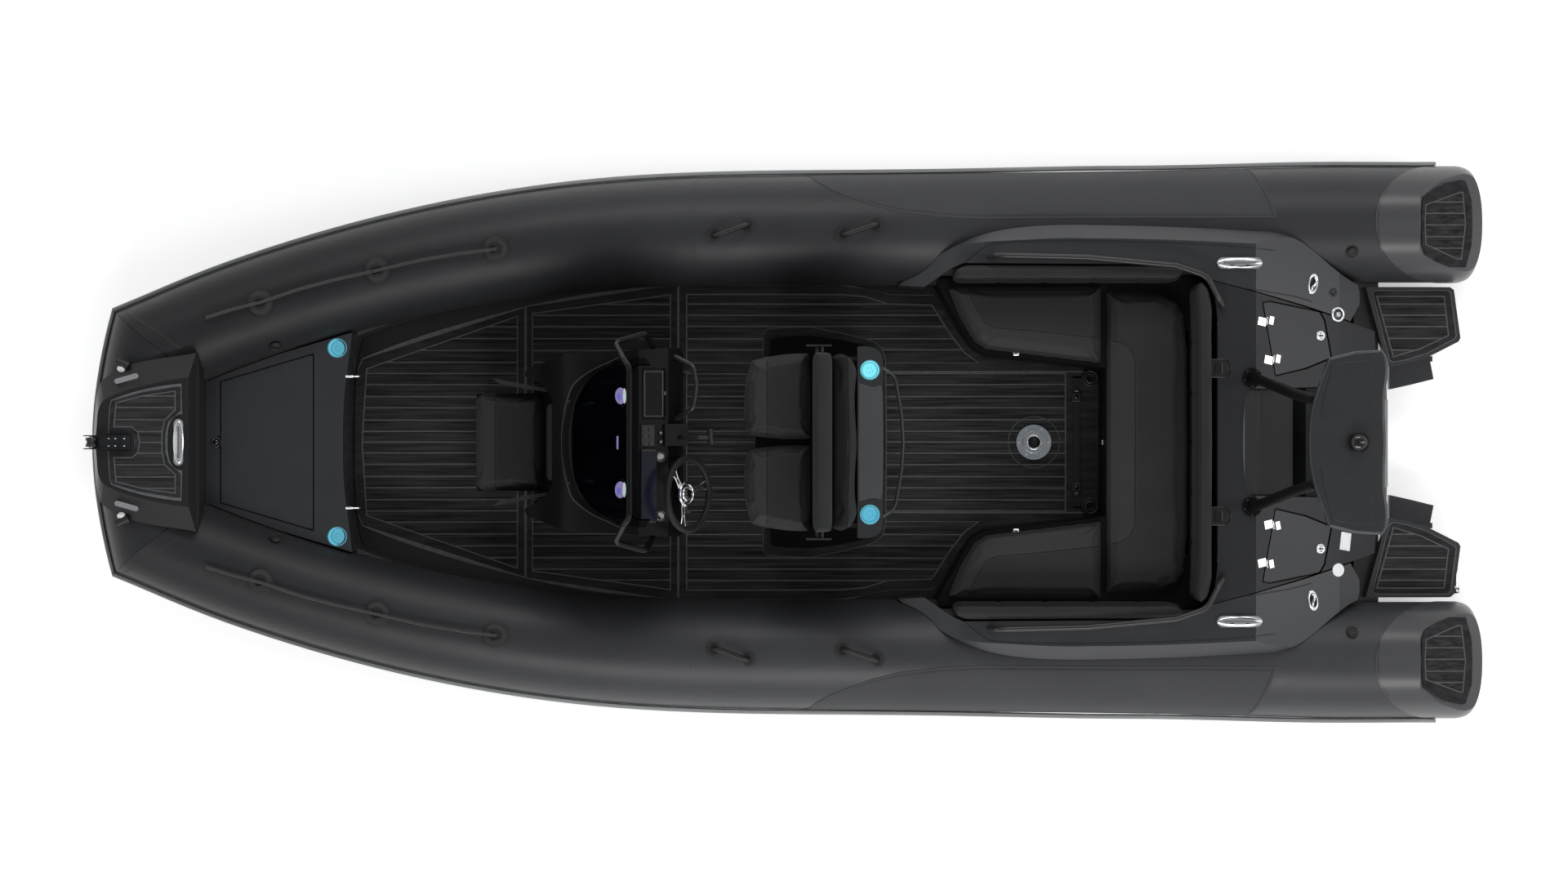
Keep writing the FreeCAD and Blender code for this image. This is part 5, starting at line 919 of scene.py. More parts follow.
# backrests, each with a sewn top roll and upright channels
for side, sg in (("starboard", -1), ("port", 1)):
    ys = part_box("backrest_" + side)
    x0, x1 = ys[0].x, ys[1].x
    chan = [("y", [(x0 + (x1 - x0) * f, 0.40), (x0 + (x1 - x0) * f, 0.665)], -sg) for f in (0.2, 0.4, 0.6, 0.8)]
    o, t = pad("backrest_" + side, ["vinyl2", "vinyl"], 0.009, 0.008, 0.005, pin="none",
               seams=[("y", [(x0, 0.665), (x1, 0.665)], -sg)] + chan,
               rolls=[lambda c: c[:, 2] > 0.668])
    seam_line("backrest_seam_" + side, t, [Vector((x0 + 0.05, sg * 0.74, 0.665)), Vector((x1 - 0.04, sg * 0.74, 0.665))], (0, sg, 0), "boat")
o, t = pad("backrest_aft", ["vinyl2", "vinyl"], 0.010, 0.008, 0.005, pin="none",
           seams=[("x", [(-0.72, 0.675), (0.72, 0.675)])] + [("x", [(y, 0.40), (y, 0.675)]) for y in (-0.46, -0.23, 0.0, 0.23, 0.46)],
           rolls=[lambda c: c[:, 2] > 0.678])
seam_line("backrest_seam_aft", t, [Vector((-1.9, -0.69, 0.675)), Vector((-1.9, 0.69, 0.675))], (-1, 0, 0), "boat")

# ------------------------------------------------------------------ fabric panels and tapes on the tubes
AXP = [(0.70, 0.967, 0.0), (0.523, 0.986, 0.0), (-0.083, 0.9955, 0.0), (-1.003, 1.002, 0.0), (-1.93, 1.011, 0.0), (-2.5, 1.022, 0.0), (-3.4, 1.022, 0.0)]


def axis_y(x):
    return float(np.interp(x, [a[0] for a in AXP][::-1], [a[1] for a in AXP][::-1]))


def tube_point(side, x, th, lift=0.0):
    # the tube's surface at station x and angle th, 0 outboard and 90 on top
    sg = -1.0 if side == "starboard" else 1.0
    o = Vector((x, axis_y(x) * sg, 0.27))
    d = Vector((0, math.cos(th) * sg, math.sin(th)))
    loc, nor, idx, dist = tree("tube_" + side).ray_cast(o, d)
    if loc is None:
        loc, nor = o + d * 0.262, d
    if nor.dot(d) < 0:
        nor = -nor
    return loc + d * lift, d


PANEL = [(985, 211.5), (992, 216), (1000, 222), (1018, 231.5), (1040, 240), (1068, 250), (1100, 258), (1150, 264), (1200, 266.5), (1300, 266), (1400, 265.5), (1562, 265)]
for side, mm in (("starboard", lambda q: q), ("port", M)):
    sg = -1.0 if side == "starboard" else 1.0
    top = []
    for (x, y) in mm(PANEL):
        try:
            loc, nor = hit(x, y, "tube_" + side, reach=0)
        except RuntimeError:
            top.append((P(x, y, 300.0).x, math.radians(14.0)))
            continue
        th = math.atan2(loc.z - 0.27, (loc.y * sg - axis_y(loc.x)))
        top.append((loc.x, th))
    xs = [a for a, b in top][::-1]
    ths = [b for a, b in top][::-1]
    low = math.radians(12.5)
    nu, nv = 110, 16
    xa, xb = top[0][0], top[-1][0]
    verts, faces = [], []
    for i in range(nu + 1):
        f = i / nu
        for j in range(nv + 1):
            g = j / nv
            # the after edge slants forward as it goes outboard
            xe = xb + (1 - g) * 0.115
            x = xa + (xe - xa) * (f ** 1.15)
            th1 = max(low + 0.01, float(np.interp(x, xs, ths)))
            th = low + (th1 - low) * g
            p, d = tube_point(side, x, th, 0.0014)
            verts.append(p)
    for i in range(nu):
        for j in range(nv):
            a = i * (nv + 1) + j
            faces.append((a, a + 1, a + nv + 2, a + nv + 1))
    sh = Shape()
    sh.add(verts, faces, 0, True)
    o = sh.make("tube_panel_" + side, [G["panel"]], slot="tube_fabric")
    so = o.modifiers.new("thick", "SOLIDIFY")
    so.thickness = 0.0022
    so.offset = 1.0 if (o.data.polygons[0].normal.dot(Vector((0, sg, 1))) < 0) else -1.0
    # tape welded over the panel's edge
    edge = [verts[i * (nv + 1) + nv] for i in range(nu + 1)] + [verts[nu * (nv + 1) + j] for j in range(nv - 1, -1, -1)]
    ups = []
    for p in edge:
        ups.append(tuple((p - Vector((p.x, axis_y(p.x) * sg, 0.27))).normalized()))
    tp = Shape()
    tp.sweep(edge, [(-0.007, -0.0012), (0.007, -0.0012), (0.006, 0.0011), (-0.006, 0.0011)], 0, up=ups, smooth=False)
    tp.make("tube_panel_tape_" + side, [G["panel"]], slot="tube_fabric")
    # a tape seam round each tube where two lengths of fabric meet
    for k, x in enumerate((0.42, -1.02)):
        line = [tube_point(side, x, math.radians(t), 0.0002) for t in range(14, 168, 4)]
        tp = Shape()
        tp.sweep([p for p, d in line], [(-0.012, -0.0008), (0.012, -0.0008), (0.0105, 0.0008), (-0.0105, 0.0008)], 0, up=[tuple(d) for p, d in line], smooth=False)
        tp.make("tube_seam_%s_%d" % (side, k), [G["tube"]], slot="tube_fabric")

# ------------------------------------------------------------------ steering wheel
WC = Vector((0.430, 0.233, 0.985))
WN = Vector((-0.829, 0.0, 0.559)).normalized()
WM = frame_at(WC, WN, (0, 1, 0))
rim = Shape()
pts = [WM @ Vector((0.160 * math.cos(t * math.tau / 96), 0.160 * math.sin(t * math.tau / 96), 0)) for t in range(96)]
sect = []
for i in range(16):
    a = math.tau * i / 16
    sect.append((0.0155 * math.cos(a), 0.0150 * math.sin(a)))
verts, faces = [], []
for t in range(96):
    ang = math.tau * t / 96
    grip = 1.0 + 0.05 * sum(math.exp(-((math.degrees(ang) - g) / 9.0) ** 2) for g in (35, 145)) - 0.03 * (0.5 + 0.5 * math.cos(ang * 24))
    c = Vector((math.cos(ang), math.sin(ang), 0))
    for a, b in sect:
        verts.append(WM @ (c * (0.160 + a * grip) + Vector((0, 0, b * grip))))
for t in range(96):
    for i in range(16):
        faces.append((t * 16 + i, t * 16 + (i + 1) % 16, ((t + 1) % 96) * 16 + (i + 1) % 16, ((t + 1) % 96) * 16 + i))
rim.add(verts, faces, 0, True)
# stitching round the inside of the rim
for t in range(72):
    ang = math.tau * t / 72
    c = Vector((math.cos(ang), math.sin(ang), 0))
    fr = frame_at(WM @ (c * 0.1462), (WM.to_3x3() @ -c), WM.to_3x3() @ Vector((-math.sin(ang) * 0.8, math.cos(ang) * 0.8, 0.6)))
    rim.block(fr, 0.007, 0.0012, 0.0008, 0.0003, 1, 1)
o = rim.make("wheel_rim", [G["vinyl2"], G["thread"]], "steering_wheel", slot="dark_trim")
sp = Shape()
for a in (-14.0, 106.0, 226.0):
    t = math.radians(a)
    d = Vector((math.cos(t), math.sin(t), 0))
    s = Vector((-math.sin(t), math.cos(t), 0))
    for off in (-0.011, 0.011):
        q = [WM @ (d * r + s * off * w + Vector((0, 0, z))) for r, w, z in ((0.024, 1.2, -0.020), (0.060, 1.0, -0.016), (0.110, 0.85, -0.007), (0.1485, 1.6, 0.0))]
        q = smooth_path(q, 6)
        sp.sweep(q, ring_sect(0.0058, 10, 0.0032), 0, up=tuple(WN))
    q = [WM @ (d * r + Vector((0, 0, z))) for r, z in ((0.03, -0.020), (0.060, -0.0155), (0.104, -0.008))]
    sp.sweep(smooth_path(q, 4), [(-0.014, -0.0015), (0.014, -0.0015), (0.014, 0.0015), (-0.014, 0.0015)], 0, up=tuple(WN))
sp.lathe(WM, [(0.013, -0.066), (0.013, -0.036), (0.030, -0.034), (0.034, -0.028), (0.034, -0.010), (0.031, -0.005), (0.024, -0.003)], 0, 40)
sp.lathe(WM, [(0.0235, -0.006), (0.0235, 0.001), (0.021, 0.004), (0.012, 0.0065), (0.001, 0.007)], 1, 32)
for i in range(6):
    a = math.tau * i / 6
    sp.lathe(WM @ Matrix.Translation((0.0285 * math.cos(a), 0.0285 * math.sin(a), -0.0045)), [(0.0026, 0), (0.0026, 0.0016), (0.0016, 0.0022)], 0, 12)
sp.lathe(WM, [(0.0560, -0.014), (0.0575, -0.008), (0.0540, -0.003), (0.0440, -0.0015), (0.0415, -0.006), (0.0420, -0.014)], 0, 56, close=False)
o = sp.make("wheel_spokes", [G["steel"], G["gloss"]], "steering_wheel", slot="stainless")
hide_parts("steering_wheel")
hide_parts("steering_wheel")

# ------------------------------------------------------------------ dash
DP = Vector((0.650, 0, 1.050))
DN = Vector((-0.065, 0, 0.130)).normalized()


def dash(px, py):
    return on_plane(px, py, DP, DN)


def dash_rect(sh, x0, y0, x1, y1, lift, th, r, m):
    a, b = dash(x0, y0), dash(x1, y1)
    c = (a + b) / 2
    du = (dash(x1, (y0 + y1) / 2) - dash(x0, (y0 + y1) / 2))
    dv = (dash((x0 + x1) / 2, y1) - dash((x0 + x1) / 2, y0))
    sh.block(frame_at(c + DN * lift, DN, du.normalized()), du.length, dv.length, th, r, m, 3)


sh = Shape()
dash_rect(sh, 783.5, 549.5, 803.0, 640.5, -0.002, 0.016, 0.006, 2)
dash_rect(sh, 785.2, 552.5, 801.4, 637.5, 0.0125, 0.0022, 0.0012, 1)
dash_rect(sh, 784.0, 520.0, 801.5, 547.0, -0.002, 0.010, 0.005, 2)
for r_ in range(2):
    for c_ in range(3):
        y = 523.4 + c_ * 8.4
        x = 786.0 + r_ * 7.6
        dash_rect(sh, x, y, x + 5.8, y + 5.8, 0.007, 0.0042, 0.0014, 2)
sh.make("dash_panel", [G["gloss"], G["screen"], G["dark"]], bevel=0, slot="console_shell")
# two dials and a key switch, without numbers of any maker
sh = Shape()
for px, py, r in ((808.5, 559.5, 0.026), (808.5, 632.0, 0.026), (809.0, 541.0, 0.011), (809.0, 530.0, 0.011)):
    m4 = frame_at(dash(px, py), DN, (0, 1, 0))
    sh.lathe(m4, [(r, -0.002), (r, 0.004), (r * 0.96, 0.006), (r * 0.88, 0.006), (r * 0.86, 0.003)], 0, 40)
    sh.lathe(m4, [(r * 0.87, 0.0005), (r * 0.87, 0.0032), (r * 0.6, 0.0040), (0.0005, 0.0042)], 1, 32)
    if r > 0.02:
        for k in range(9):
            a = math.radians(-40 + k * 32.5)
            sh.block(m4 @ Matrix.Translation((r * 0.72 * math.cos(a), r * 0.72 * math.sin(a), 0.0040)) @ Matrix.Rotation(a, 4, "Z"), 0.0035, 0.0009, 0.0004, 0.0001, 2, 1)
        sh.block(m4 @ Matrix.Rotation(math.radians(20), 4, "Z") @ Matrix.Translation((r * 0.3, 0, 0.0042)), r * 0.62, 0.0012, 0.0005, 0.0002, 2, 1)
sh.make("dash_dials", [G["steel_dark"], G["dial"], G["mark"]], slot="console_shell")
# glovebox: a raised frame and a push latch
sh = Shape()
GN = Vector((-0.4472, 0, 0.8944))
for x0, y0, x1, y1 in ((787.5, 453.0, 816.2, 510.5),):
    c0, c1, c2, c3 = [on_plane(a, b, (0.634, 0, 1.0441), GN) for a, b in ((x0, y0), (x1, y0), (x1, y1), (x0, y1))]
    sh.sweep(smooth_path([c0 * 0.9 + c1 * 0.1, c0 * 0.1 + c1 * 0.9, c1 * 0.9 + c2 * 0.1, c1 * 0.1 + c2 * 0.9, c2 * 0.9 + c3 * 0.1, c2 * 0.1 + c3 * 0.9, c3 * 0.9 + c0 * 0.1, c3 * 0.1 + c0 * 0.9], 5, True),
             [(-0.003, -0.001), (0.003, -0.001), (0.0022, 0.0016), (-0.0022, 0.0016)], 0, closed=True, up=tuple(GN), smooth=False)
c = on_plane(814.0, 481.5, (0.634, 0, 1.0441), GN)
sh.lathe(frame_at(c, GN), [(0.010, -0.001), (0.010, 0.0028), (0.008, 0.0040), (0.0010, 0.0042)], 1, 28)
sh.make("glovebox_trim", [G["console"], G["steel_dark"]], "glovebox_lid", slot="console_shell")

# ------------------------------------------------------------------ windscreen trim
sh = Shape()
for px, py in ((744.5, 445.0), (744.5, 638.0), (697.0, 491.5), (697.0, 591.5), (763.0, 443.5), (763.0, 639.5)):
    loc, nor = hit(px, py, "windshield", "console")
    sh.lathe(frame_at(loc - nor * 0.0005, nor), [(0.0052, 0), (0.0052, 0.0016), (0.0036, 0.0026), (0.0008, 0.0028)], 0, 20)
sh.make("screen_screws", [G["steel_dark"]], slot="stainless")
sh = Shape()
for px, py in ((760.5, 484.6), (760.2, 600.0)):
    loc, nor = hit(px, py, "console")
    m4 = frame_at(loc + nor * 0.001, nor, (1, 0, 0))
    sc = Matrix.Diagonal((0.62, 0.96, 1.0, 1.0))
    sh.lathe(m4 @ sc, [(0.054, -0.003), (0.054, 0.004), (0.051, 0.008), (0.046, 0.008)], 0, 48)
    sh.lathe(m4 @ sc, [(0.046, 0.001), (0.046, 0.006), (0.034, 0.0095), (0.012, 0.0115), (0.0005, 0.0118)], 1, 40)
    sh.lathe(m4 @ sc @ Matrix.Translation((0.008, 0.004, 0.0092)), [(0.017, 0), (0.014, 0.0026), (0.0005, 0.0034)], 2, 32)
    # painted highlight: a thin glowing sliver on one side of each lens
    sh.lathe(m4 @ Matrix.Translation((-0.0175, 0.0, 0.0086)) @ Matrix.Diagonal((0.22, 1.0, 1.0, 1.0)), [(0.034, 0), (0.030, 0.0026), (0.0005, 0.0038)], 3, 32)
sh.make("dash_lamps", [G["gloss"], G["lens"], G["lens2"], G["lensw"]], slot="dark_trim")

# ------------------------------------------------------------------ cup holders with blue light
sh = Shape()
for px, py, z, key in ((413.0, 426.0, 460.0, 0), (413.0, 657.0, 460.0, 0), (1065.2, 453.0, 950.0, 3), (1065.2, 630.0, 950.0, 0)):
    c = P(px, py, z)
    m4 = Matrix.Translation(c)
    sh.lathe(m4, [(0.0400, 0.0002), (0.0445, 0.0002), (0.0450, 0.0012), (0.0440, 0.0026), (0.0412, 0.0028), (0.0400, 0.0014)], 1, 56, close=False)
    sh.lathe(m4, [(0.0402, 0.0010), (0.0400, -0.006), (0.0392, -0.016), (0.0388, -0.0655)], 2 if key == 0 else 4, 56, close=False)
    sh.lathe(m4, [(0.0390, -0.0655), (0.030, -0.0665), (0.029, -0.0650), (0.0235, -0.0650), (0.0228, -0.0668), (0.0005, -0.0668)], key, 56, close=False)
    sh.lathe(m4, [(0.0372, -0.0650), (0.0372, -0.0622), (0.0340, -0.0622), (0.0340, -0.0655)], 1, 56, close=False)
    for k in range(5):
        a = math.tau * k / 5 + 0.4
        sh.lathe(m4 @ Matrix.Translation((0.013 * math.cos(a), 0.013 * math.sin(a), -0.0668)), [(0.0022, 0), (0.0018, 0.0009), (0.0004, 0.0010)], 1, 10)
sh.make("cup_inserts", [G["glow"], G["glowd"], G["glow"], G["glow2"], G["glow2"]], slot="lamp_housing")

# ------------------------------------------------------------------ stern fittings
sh = Shape()      # on the deck
for mm in (lambda q: q, M):
    # cleats: a long domed bar on its plate
    (cx, cy), = mm([(1518, 322)])
    c = P(cx, cy, 644)
    m4 = Matrix.Translation(c - Vector((0, 0, 0.0005)))
    sc = Matrix.Diagonal((4.05, 1.0, 1.0, 1.0))
    sh.lathe(m4 @ sc, [(0.0260, -0.004), (0.0262, 0.001), (0.0250, 0.004), (0.0215, 0.0068), (0.0120, 0.0098), (0.0005, 0.0106)], 0, 48)
    for k in (-1, 1):
        sh.block(m4 @ Matrix.Translation((0.036 * k, 0.010, 0.0065)), 0.020, 0.005, 0.006, 0.002, 1)
        sh.lathe(m4 @ Matrix.Translation((0.080 * k, 0, 0.003)), [(0.0045, 0), (0.0045, 0.003), (0.003, 0.0042), (0.0005, 0.0045)], 0, 14)
    sh.block(m4 @ Matrix.Translation((0, 0, 0.006)), 0.150, 0.0035, 0.0062, 0.0015, 1)
    # chocks at the corner of the deck
    (cx, cy), = mm([(1607.5, 347.5)])
    loc, nor = hit(cx, cy, "coaming_starboard", "coaming_port", "stern_deck")
    sg = 1 if cy < 541 else -1
    m4 = frame_at(loc, nor, (0.25, 1.0 * sg, 0)) @ Matrix.Diagonal((1.0, 0.52, 1.0, 1.0))
    sh.lathe(m4, [(0.0500, -0.004), (0.0515, 0.0015), (0.0480, 0.0062), (0.0400, 0.0078), (0.0345, 0.0055), (0.0325, -0.002)], 0, 40, close=False)
    sh.lathe(m4, [(0.0330, -0.0015), (0.0330, 0.0012), (0.0005, 0.0012)], 1, 32)
    q = frame_at(loc + nor * 0.003, nor, (0.25, 1.0 * sg, 0))
    pts = [q @ Vector(v) for v in ((-0.030, 0.004, 0), (-0.012, 0.010, 0.010), (0.006, 0.002, 0.014), (0.020, -0.006, 0.009), (0.030, 0.000, 0.001))]
    sh.sweep(smooth_path(pts, 6), ring_sect(0.0062, 10), 0, up=tuple(nor))
# starboard filler cap, dark vent, lid latches, port socket panel and oval cap
loc, nor = hit(1638.0, 385.0, "stern_deck", "coaming_starboard")
m4 = frame_at(loc, nor, (1, 0.3, 0))
sh.lathe(m4, [(0.0355, -0.003), (0.0355, 0.0030), (0.0335, 0.0050), (0.0262, 0.0052), (0.0245, 0.0030), (0.0245, -0.002)], 0, 44, close=False)
sh.lathe(m4, [(0.0246, 0.0012), (0.0246, 0.0040), (0.0205, 0.0052), (0.0005, 0.0052)], 2, 40)
sh.lathe(m4, [(0.0120, 0.0050), (0.0120, 0.0082), (0.0100, 0.0095), (0.0005, 0.0096)], 0, 28)
sh.block(m4 @ Matrix.Translation((0, 0, 0.0085)), 0.0190, 0.0030, 0.0030, 0.0008, 1)
loc, nor = hit(1632.5, 358.0, "stern_deck", "coaming_starboard")
m4 = frame_at(loc, nor, (1, 0, 0))
sh.lathe(m4, [(0.0205, -0.003), (0.0205, 0.0022), (0.0180, 0.0038), (0.0150, 0.0038), (0.0140, 0.0020), (0.0005, 0.0018)], 2, 36)
loc, nor = hit(1647.0, 663.0, "stern_deck", "coaming_port")
m4 = frame_at(loc, nor, (1, -0.12, 0))
sh.block(m4 @ Matrix.Translation((0, 0, -0.002)), 0.066, 0.084, 0.0085, 0.0050, 3, 3)
sh.block(m4 @ Matrix.Translation((0, 0.004, 0.0062)), 0.050, 0.060, 0.0024, 0.0022, 3, 2)
for k in (-1, 1):
    sh.lathe(m4 @ Matrix.Translation((0.0, 0.036 * k, 0.0065)), [(0.0030, 0), (0.0030, 0.0012), (0.0005, 0.0018)], 0, 12)
loc, nor = hit(1638.5, 698.0, "stern_deck", "coaming_port")
m4 = frame_at(loc, nor, (1, -0.3, 0))
sh.lathe(m4, [(0.0310, -0.003), (0.0310, 0.0030), (0.0285, 0.0052), (0.0215, 0.0056), (0.0200, 0.0042), (0.0150, 0.0042), (0.0140, 0.0056), (0.0005, 0.0060)], 3, 40)
sh.make("stern_fittings", [G["steel"], G["dark"], G["steel_dark"], G["white"]], slot="stainless")

for side, mm in (("starboard", lambda q: q), ("port", M)):
    lid, deck_ = Shape(), Shape()
    for (hx, hy) in mm([(1552.0, 393.0), (1560.0, 440.0)]):
        sg = 1 if side == "starboard" else -1
        la, na = hit(hx + 4.2, hy - 0.6 * sg, "stern_lid_" + side)
        lb, nb = hit(hx - 6.6, hy + 0.9 * sg, "stern_deck")
        m4 = frame_at(la, na, (-1.0, 0.18 * sg, 0))
        lid.block(m4 @ Matrix.Translation((0.001, 0, -0.001)), 0.026, 0.040, 0.0055, 0.0022, 0, 2)
        for k in (-1, 1):
            lid.lathe(m4 @ Matrix.Translation((0.005, 0.011 * k, 0.0018)), [(0.0042, 0), (0.0040, 0.0012), (0.0005, 0.0018)], 1, 12)
        m5 = frame_at(lb, nb, (-1.0, 0.18 * sg, 0))
        deck_.block(m5 @ Matrix.Translation((-0.002, 0, -0.001)), 0.046, 0.040, 0.0055, 0.0022, 0, 2)
        for k in (-1, 1):
            deck_.lathe(m5 @ Matrix.Translation((-0.010, 0.011 * k, 0.0018)), [(0.0042, 0), (0.0040, 0.0012), (0.0005, 0.0018)], 1, 12)
        mid, nm = (la + lb) / 2, (na + nb).normalized()
        m6 = frame_at(mid + nm * 0.003, (Vector((0.18 * 1, 0.98 * (1 if sg > 0 else -1), 0.08))), tuple(nm))
        deck_.lathe(m6, [(0.0048, -0.019), (0.0052, -0.018), (0.0052, 0.018), (0.0048, 0.019)], 0, 16)
    (lx, ly), = mm([(1617.0, 411.0)])
    la, na = hit(lx, ly, "stern_lid_" + side)
    m4 = frame_at(la, na, (1, 0, 0))
    lid.lathe(m4, [(0.0235, -0.002), (0.0235, 0.0022), (0.0215, 0.0042), (0.0150, 0.0046), (0.0135, 0.0026), (0.0135, 0.0008)], 0, 36, close=False)
    lid.lathe(m4, [(0.0136, 0.0006), (0.0136, 0.0022), (0.0005, 0.0026)], 0, 28)
    lid.lathe(m4 @ Matrix.Translation((0, 0, 0.0022)), [(0.0050, 0), (0.0050, 0.0016), (0.0005, 0.0018)], 2, 18)
    lid.make("stern_lid_fittings_" + side, [G["steel"], G["brushed"], G["dark"]], "stern_lid_" + side, slot="stainless")
    deck_.make("stern_hinges_" + side, [G["steel"], G["brushed"], G["dark"]], slot="stainless")
    # D-shaped latches on the after backrest
    c = P(*mm([(1495.0, 451.0)])[0], 636)
    sg = -1 if side == "starboard" else 1
    d = Shape()
    loc, nor = hit(*mm([(1497.0, 451.0)])[0], "stern_deck", "coaming_" + side)
    m4 = frame_at(loc, nor, (-1, 0, 0))
    ol = []
    for k in range(13):
        a = math.radians(-90 + 15 * k)
        ol.append(Vector((-0.020 - 0.0 * k + (0.028 if False else 0.034) * 0 + 0.030 + 0.030 * math.cos(a), 0.042 * math.sin(a), 0)))
    ol += [Vector((-0.055, 0.042, 0)), Vector((-0.062, 0.036, 0)), Vector((-0.062, -0.036, 0)), Vector((-0.055, -0.042, 0))]
    d.slab([[m4 @ (v + Vector((0, 0, -0.001))) for v in ol]], nor * 0.0048, 0)
    d.slab([[m4 @ (v * 0.80 + Vector((-0.002, 0, 0.0036))) for v in ol]], nor * 0.0022, 1)
    d.block(m4 @ Matrix.Translation((-0.018, 0, 0.0055)), 0.034, 0.050, 0.0050, 0.0024, 0, 3)
    d.lathe(m4 @ Matrix.Translation((0.022, 0, 0.0050)), [(0.007, 0), (0.007, 0.002), (0.005, 0.003), (0.0005, 0.0032)], 1, 20)
    d.make("back_latch_" + side, [G["gloss"], G["dark"]], bevel=0.0008, slot="dark_trim")

# ------------------------------------------------------------------ groove lines on mouldings
def groove(name, pts, nodes, w=0.0024, h=0.0008, m="dark", closed=False, n=6, body="boat"):
    # a thin dark line laid on the surface below the picture points
    line, ups = [], []
    for v in smooth_path([Vector((x, y, 0)) for x, y in pts], n, closed) if n > 1 else [Vector((x, y, 0)) for x, y in pts]:
        try:
            loc, nor = hit(v.x, v.y, *nodes)
        except RuntimeError:
            continue
        if line and (loc - line[-1]).length < 0.002:
            continue
        line.append(loc + nor * 0.0002)
        ups.append(tuple(nor))
    if len(line) < 2:
        return None
    g = Shape()
    g.sweep(line, [(-w / 2, -0.001), (w / 2, -0.001), (w / 2, h), (-w / 2, h)], 0, closed=closed, up=ups, smooth=False)
    return g.make(name, [G[m]], body, slot="dark_trim")


groove("back_panel_joint", [(1478.5, 387.2), (1486, 387.6), (1490, 391), (1491, 420), (1491, 541.5), (1491, 663), (1490, 692), (1486, 695.4), (1478.5, 695.8)], ["stern_deck", "coaming_port", "coaming_starboard"], 0.0042, m="gloss")
for side, mm in (("starboard", lambda q: q), ("port", M)):
    nodes = ["coaming_" + side, "stern_deck"]
    # the moulded step along the coaming
    groove("coaming_step_a_" + side, mm([(1160, 341), (1172, 330), (1190, 314), (1205, 303), (1222, 297.5), (1300, 294.8), (1400, 296.0), (1500, 300.5), (1560, 306.5)]), nodes, 0.0050, 0.0016, m="stern")
    groove("coaming_step_b_" + side, mm([(1458, 341), (1480, 345.5), (1520, 352.0), (1580, 362.0), (1606, 369)]), nodes, 0.0060, 0.0018, m="stern")

# ------------------------------------------------------------------ light arch
wg = Shape()
wpan = [(1632, 447), (1646, 443.5), (1682, 440.5), (1681.5, 470), (1679, 486), (1672, 495), (1655, 501.5), (1618, 511.5), (1621, 490)]
wn_ = Vector((0, 0, 1))
for mm in (lambda q: q, M):
    q = mm(wpan)
    wg.plate([grow(q, 1.0), grow(q, 0.15)], 1789.2, 1791.2, 1)
    wg.plate([grow(q, 0.1)], 1789.2, 1791.6, 0)
wg.make("wing_panels", [G["wing"], G["dark"]], bevel=0.0012, slot="console_shell")
wg = Shape()
for dx, dy in ((-2.2, 0), (2.2, 0), (6.6, 0)):
    c = P(1664 + dx, 609.5 + dy, 1791.6)
    wg.lathe(Matrix.Translation(c), [(0.0036, -0.001), (0.0036, 0.0008), (0.0024, 0.0013), (0.0004, 0.0014)], 0, 14)
c = P(1664, 541.5, 1792)
wg.lathe(Matrix.Translation(Vector((c.x, 0, 1.790))), [(0.047, -0.001), (0.047, 0.003), (0.0445, 0.0050), (0.0425, 0.0050)], 0, 56, close=False)
lx = (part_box("anchor_light")[0].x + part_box("anchor_light")[1].x) / 2
wg.lathe(Matrix.Translation((lx, 0, 1.816)), [(0.0388, 0.0), (0.0392, 0.004), (0.0380, 0.010), (0.0385, 0.0125), (0.036, 0.018), (0.0375, 0.0195), (0.030, 0.0285), (0.018, 0.0355), (0.0005, 0.0390)], 1, 48)
wg.make("mast_light_trim", [G["dark"], G["gloss"]], slot="lamp_housing")
wg = Shape()
for side, mm in (("starboard", lambda q: q), ("port", M)):
    sg = -1 if side == "starboard" else 1
    c = P(1533, 541.5 + sg * 78.8, 632)
    for k in range(5):
        a = math.tau * k / 5 + 0.3
        wg.lathe(Matrix.Translation(c + Vector((0.0365 * math.cos(a), 0.0365 * math.sin(a), 0.0115))), [(0.0050, 0), (0.0048, 0.0018), (0.0030, 0.0030), (0.0004, 0.0032)], 0, 14)
wg.make("arch_screws", [G["steel_dark"]], slot="stainless")

# ------------------------------------------------------------------ cockpit hardware
ck = Shape()
loc, nor = hit(1244.0, 433.0, "bench_base", "bench_lid_starboard")
for px, py in ((1244.0, 433.3), (1244.0, 649.7)):
    c = P(px, py, 452)
    side = "starboard" if py < 541 else "port"
    loc, nor = hit(px, py, "bench_base")
    m4 = frame_at(loc, nor, (1, 0, 0))
    ck.block(m4 @ Matrix.Translation((0, 0, -0.001)), 0.026, 0.016, 0.006, 0.0025, 0, 2)
    ck.lathe(m4 @ Matrix.Translation((0, 0, 0.004)), [(0.0055, 0), (0.0050, 0.003), (0.0004, 0.0036)], 0, 16)
loc, nor = hit(1350.5, 541.5, "bench_base")
m4 = frame_at(loc, nor, (0, 1, 0))
ck.block(m4 @ Matrix.Translation((0, 0, -0.001)), 0.022, 0.014, 0.006, 0.0025, 0, 2)
# hinges between the bow locker and the sole
for px, py in ((433.4, 461.0), (433.4, 622.0)):
    c = P(px, py, 455)
    ck.block(Matrix.Translation(P(427.5, py, 460) + Vector((0, 0, -0.001))), 0.034, 0.0085, 0.0045, 0.0016, 0, 2)
    ck.lathe(Matrix.Translation(P(427.5, py, 460) + Vector((0.010, 0, 0.0030))), [(0.003, 0), (0.0028, 0.001), (0.0004, 0.0014)], 0, 12)
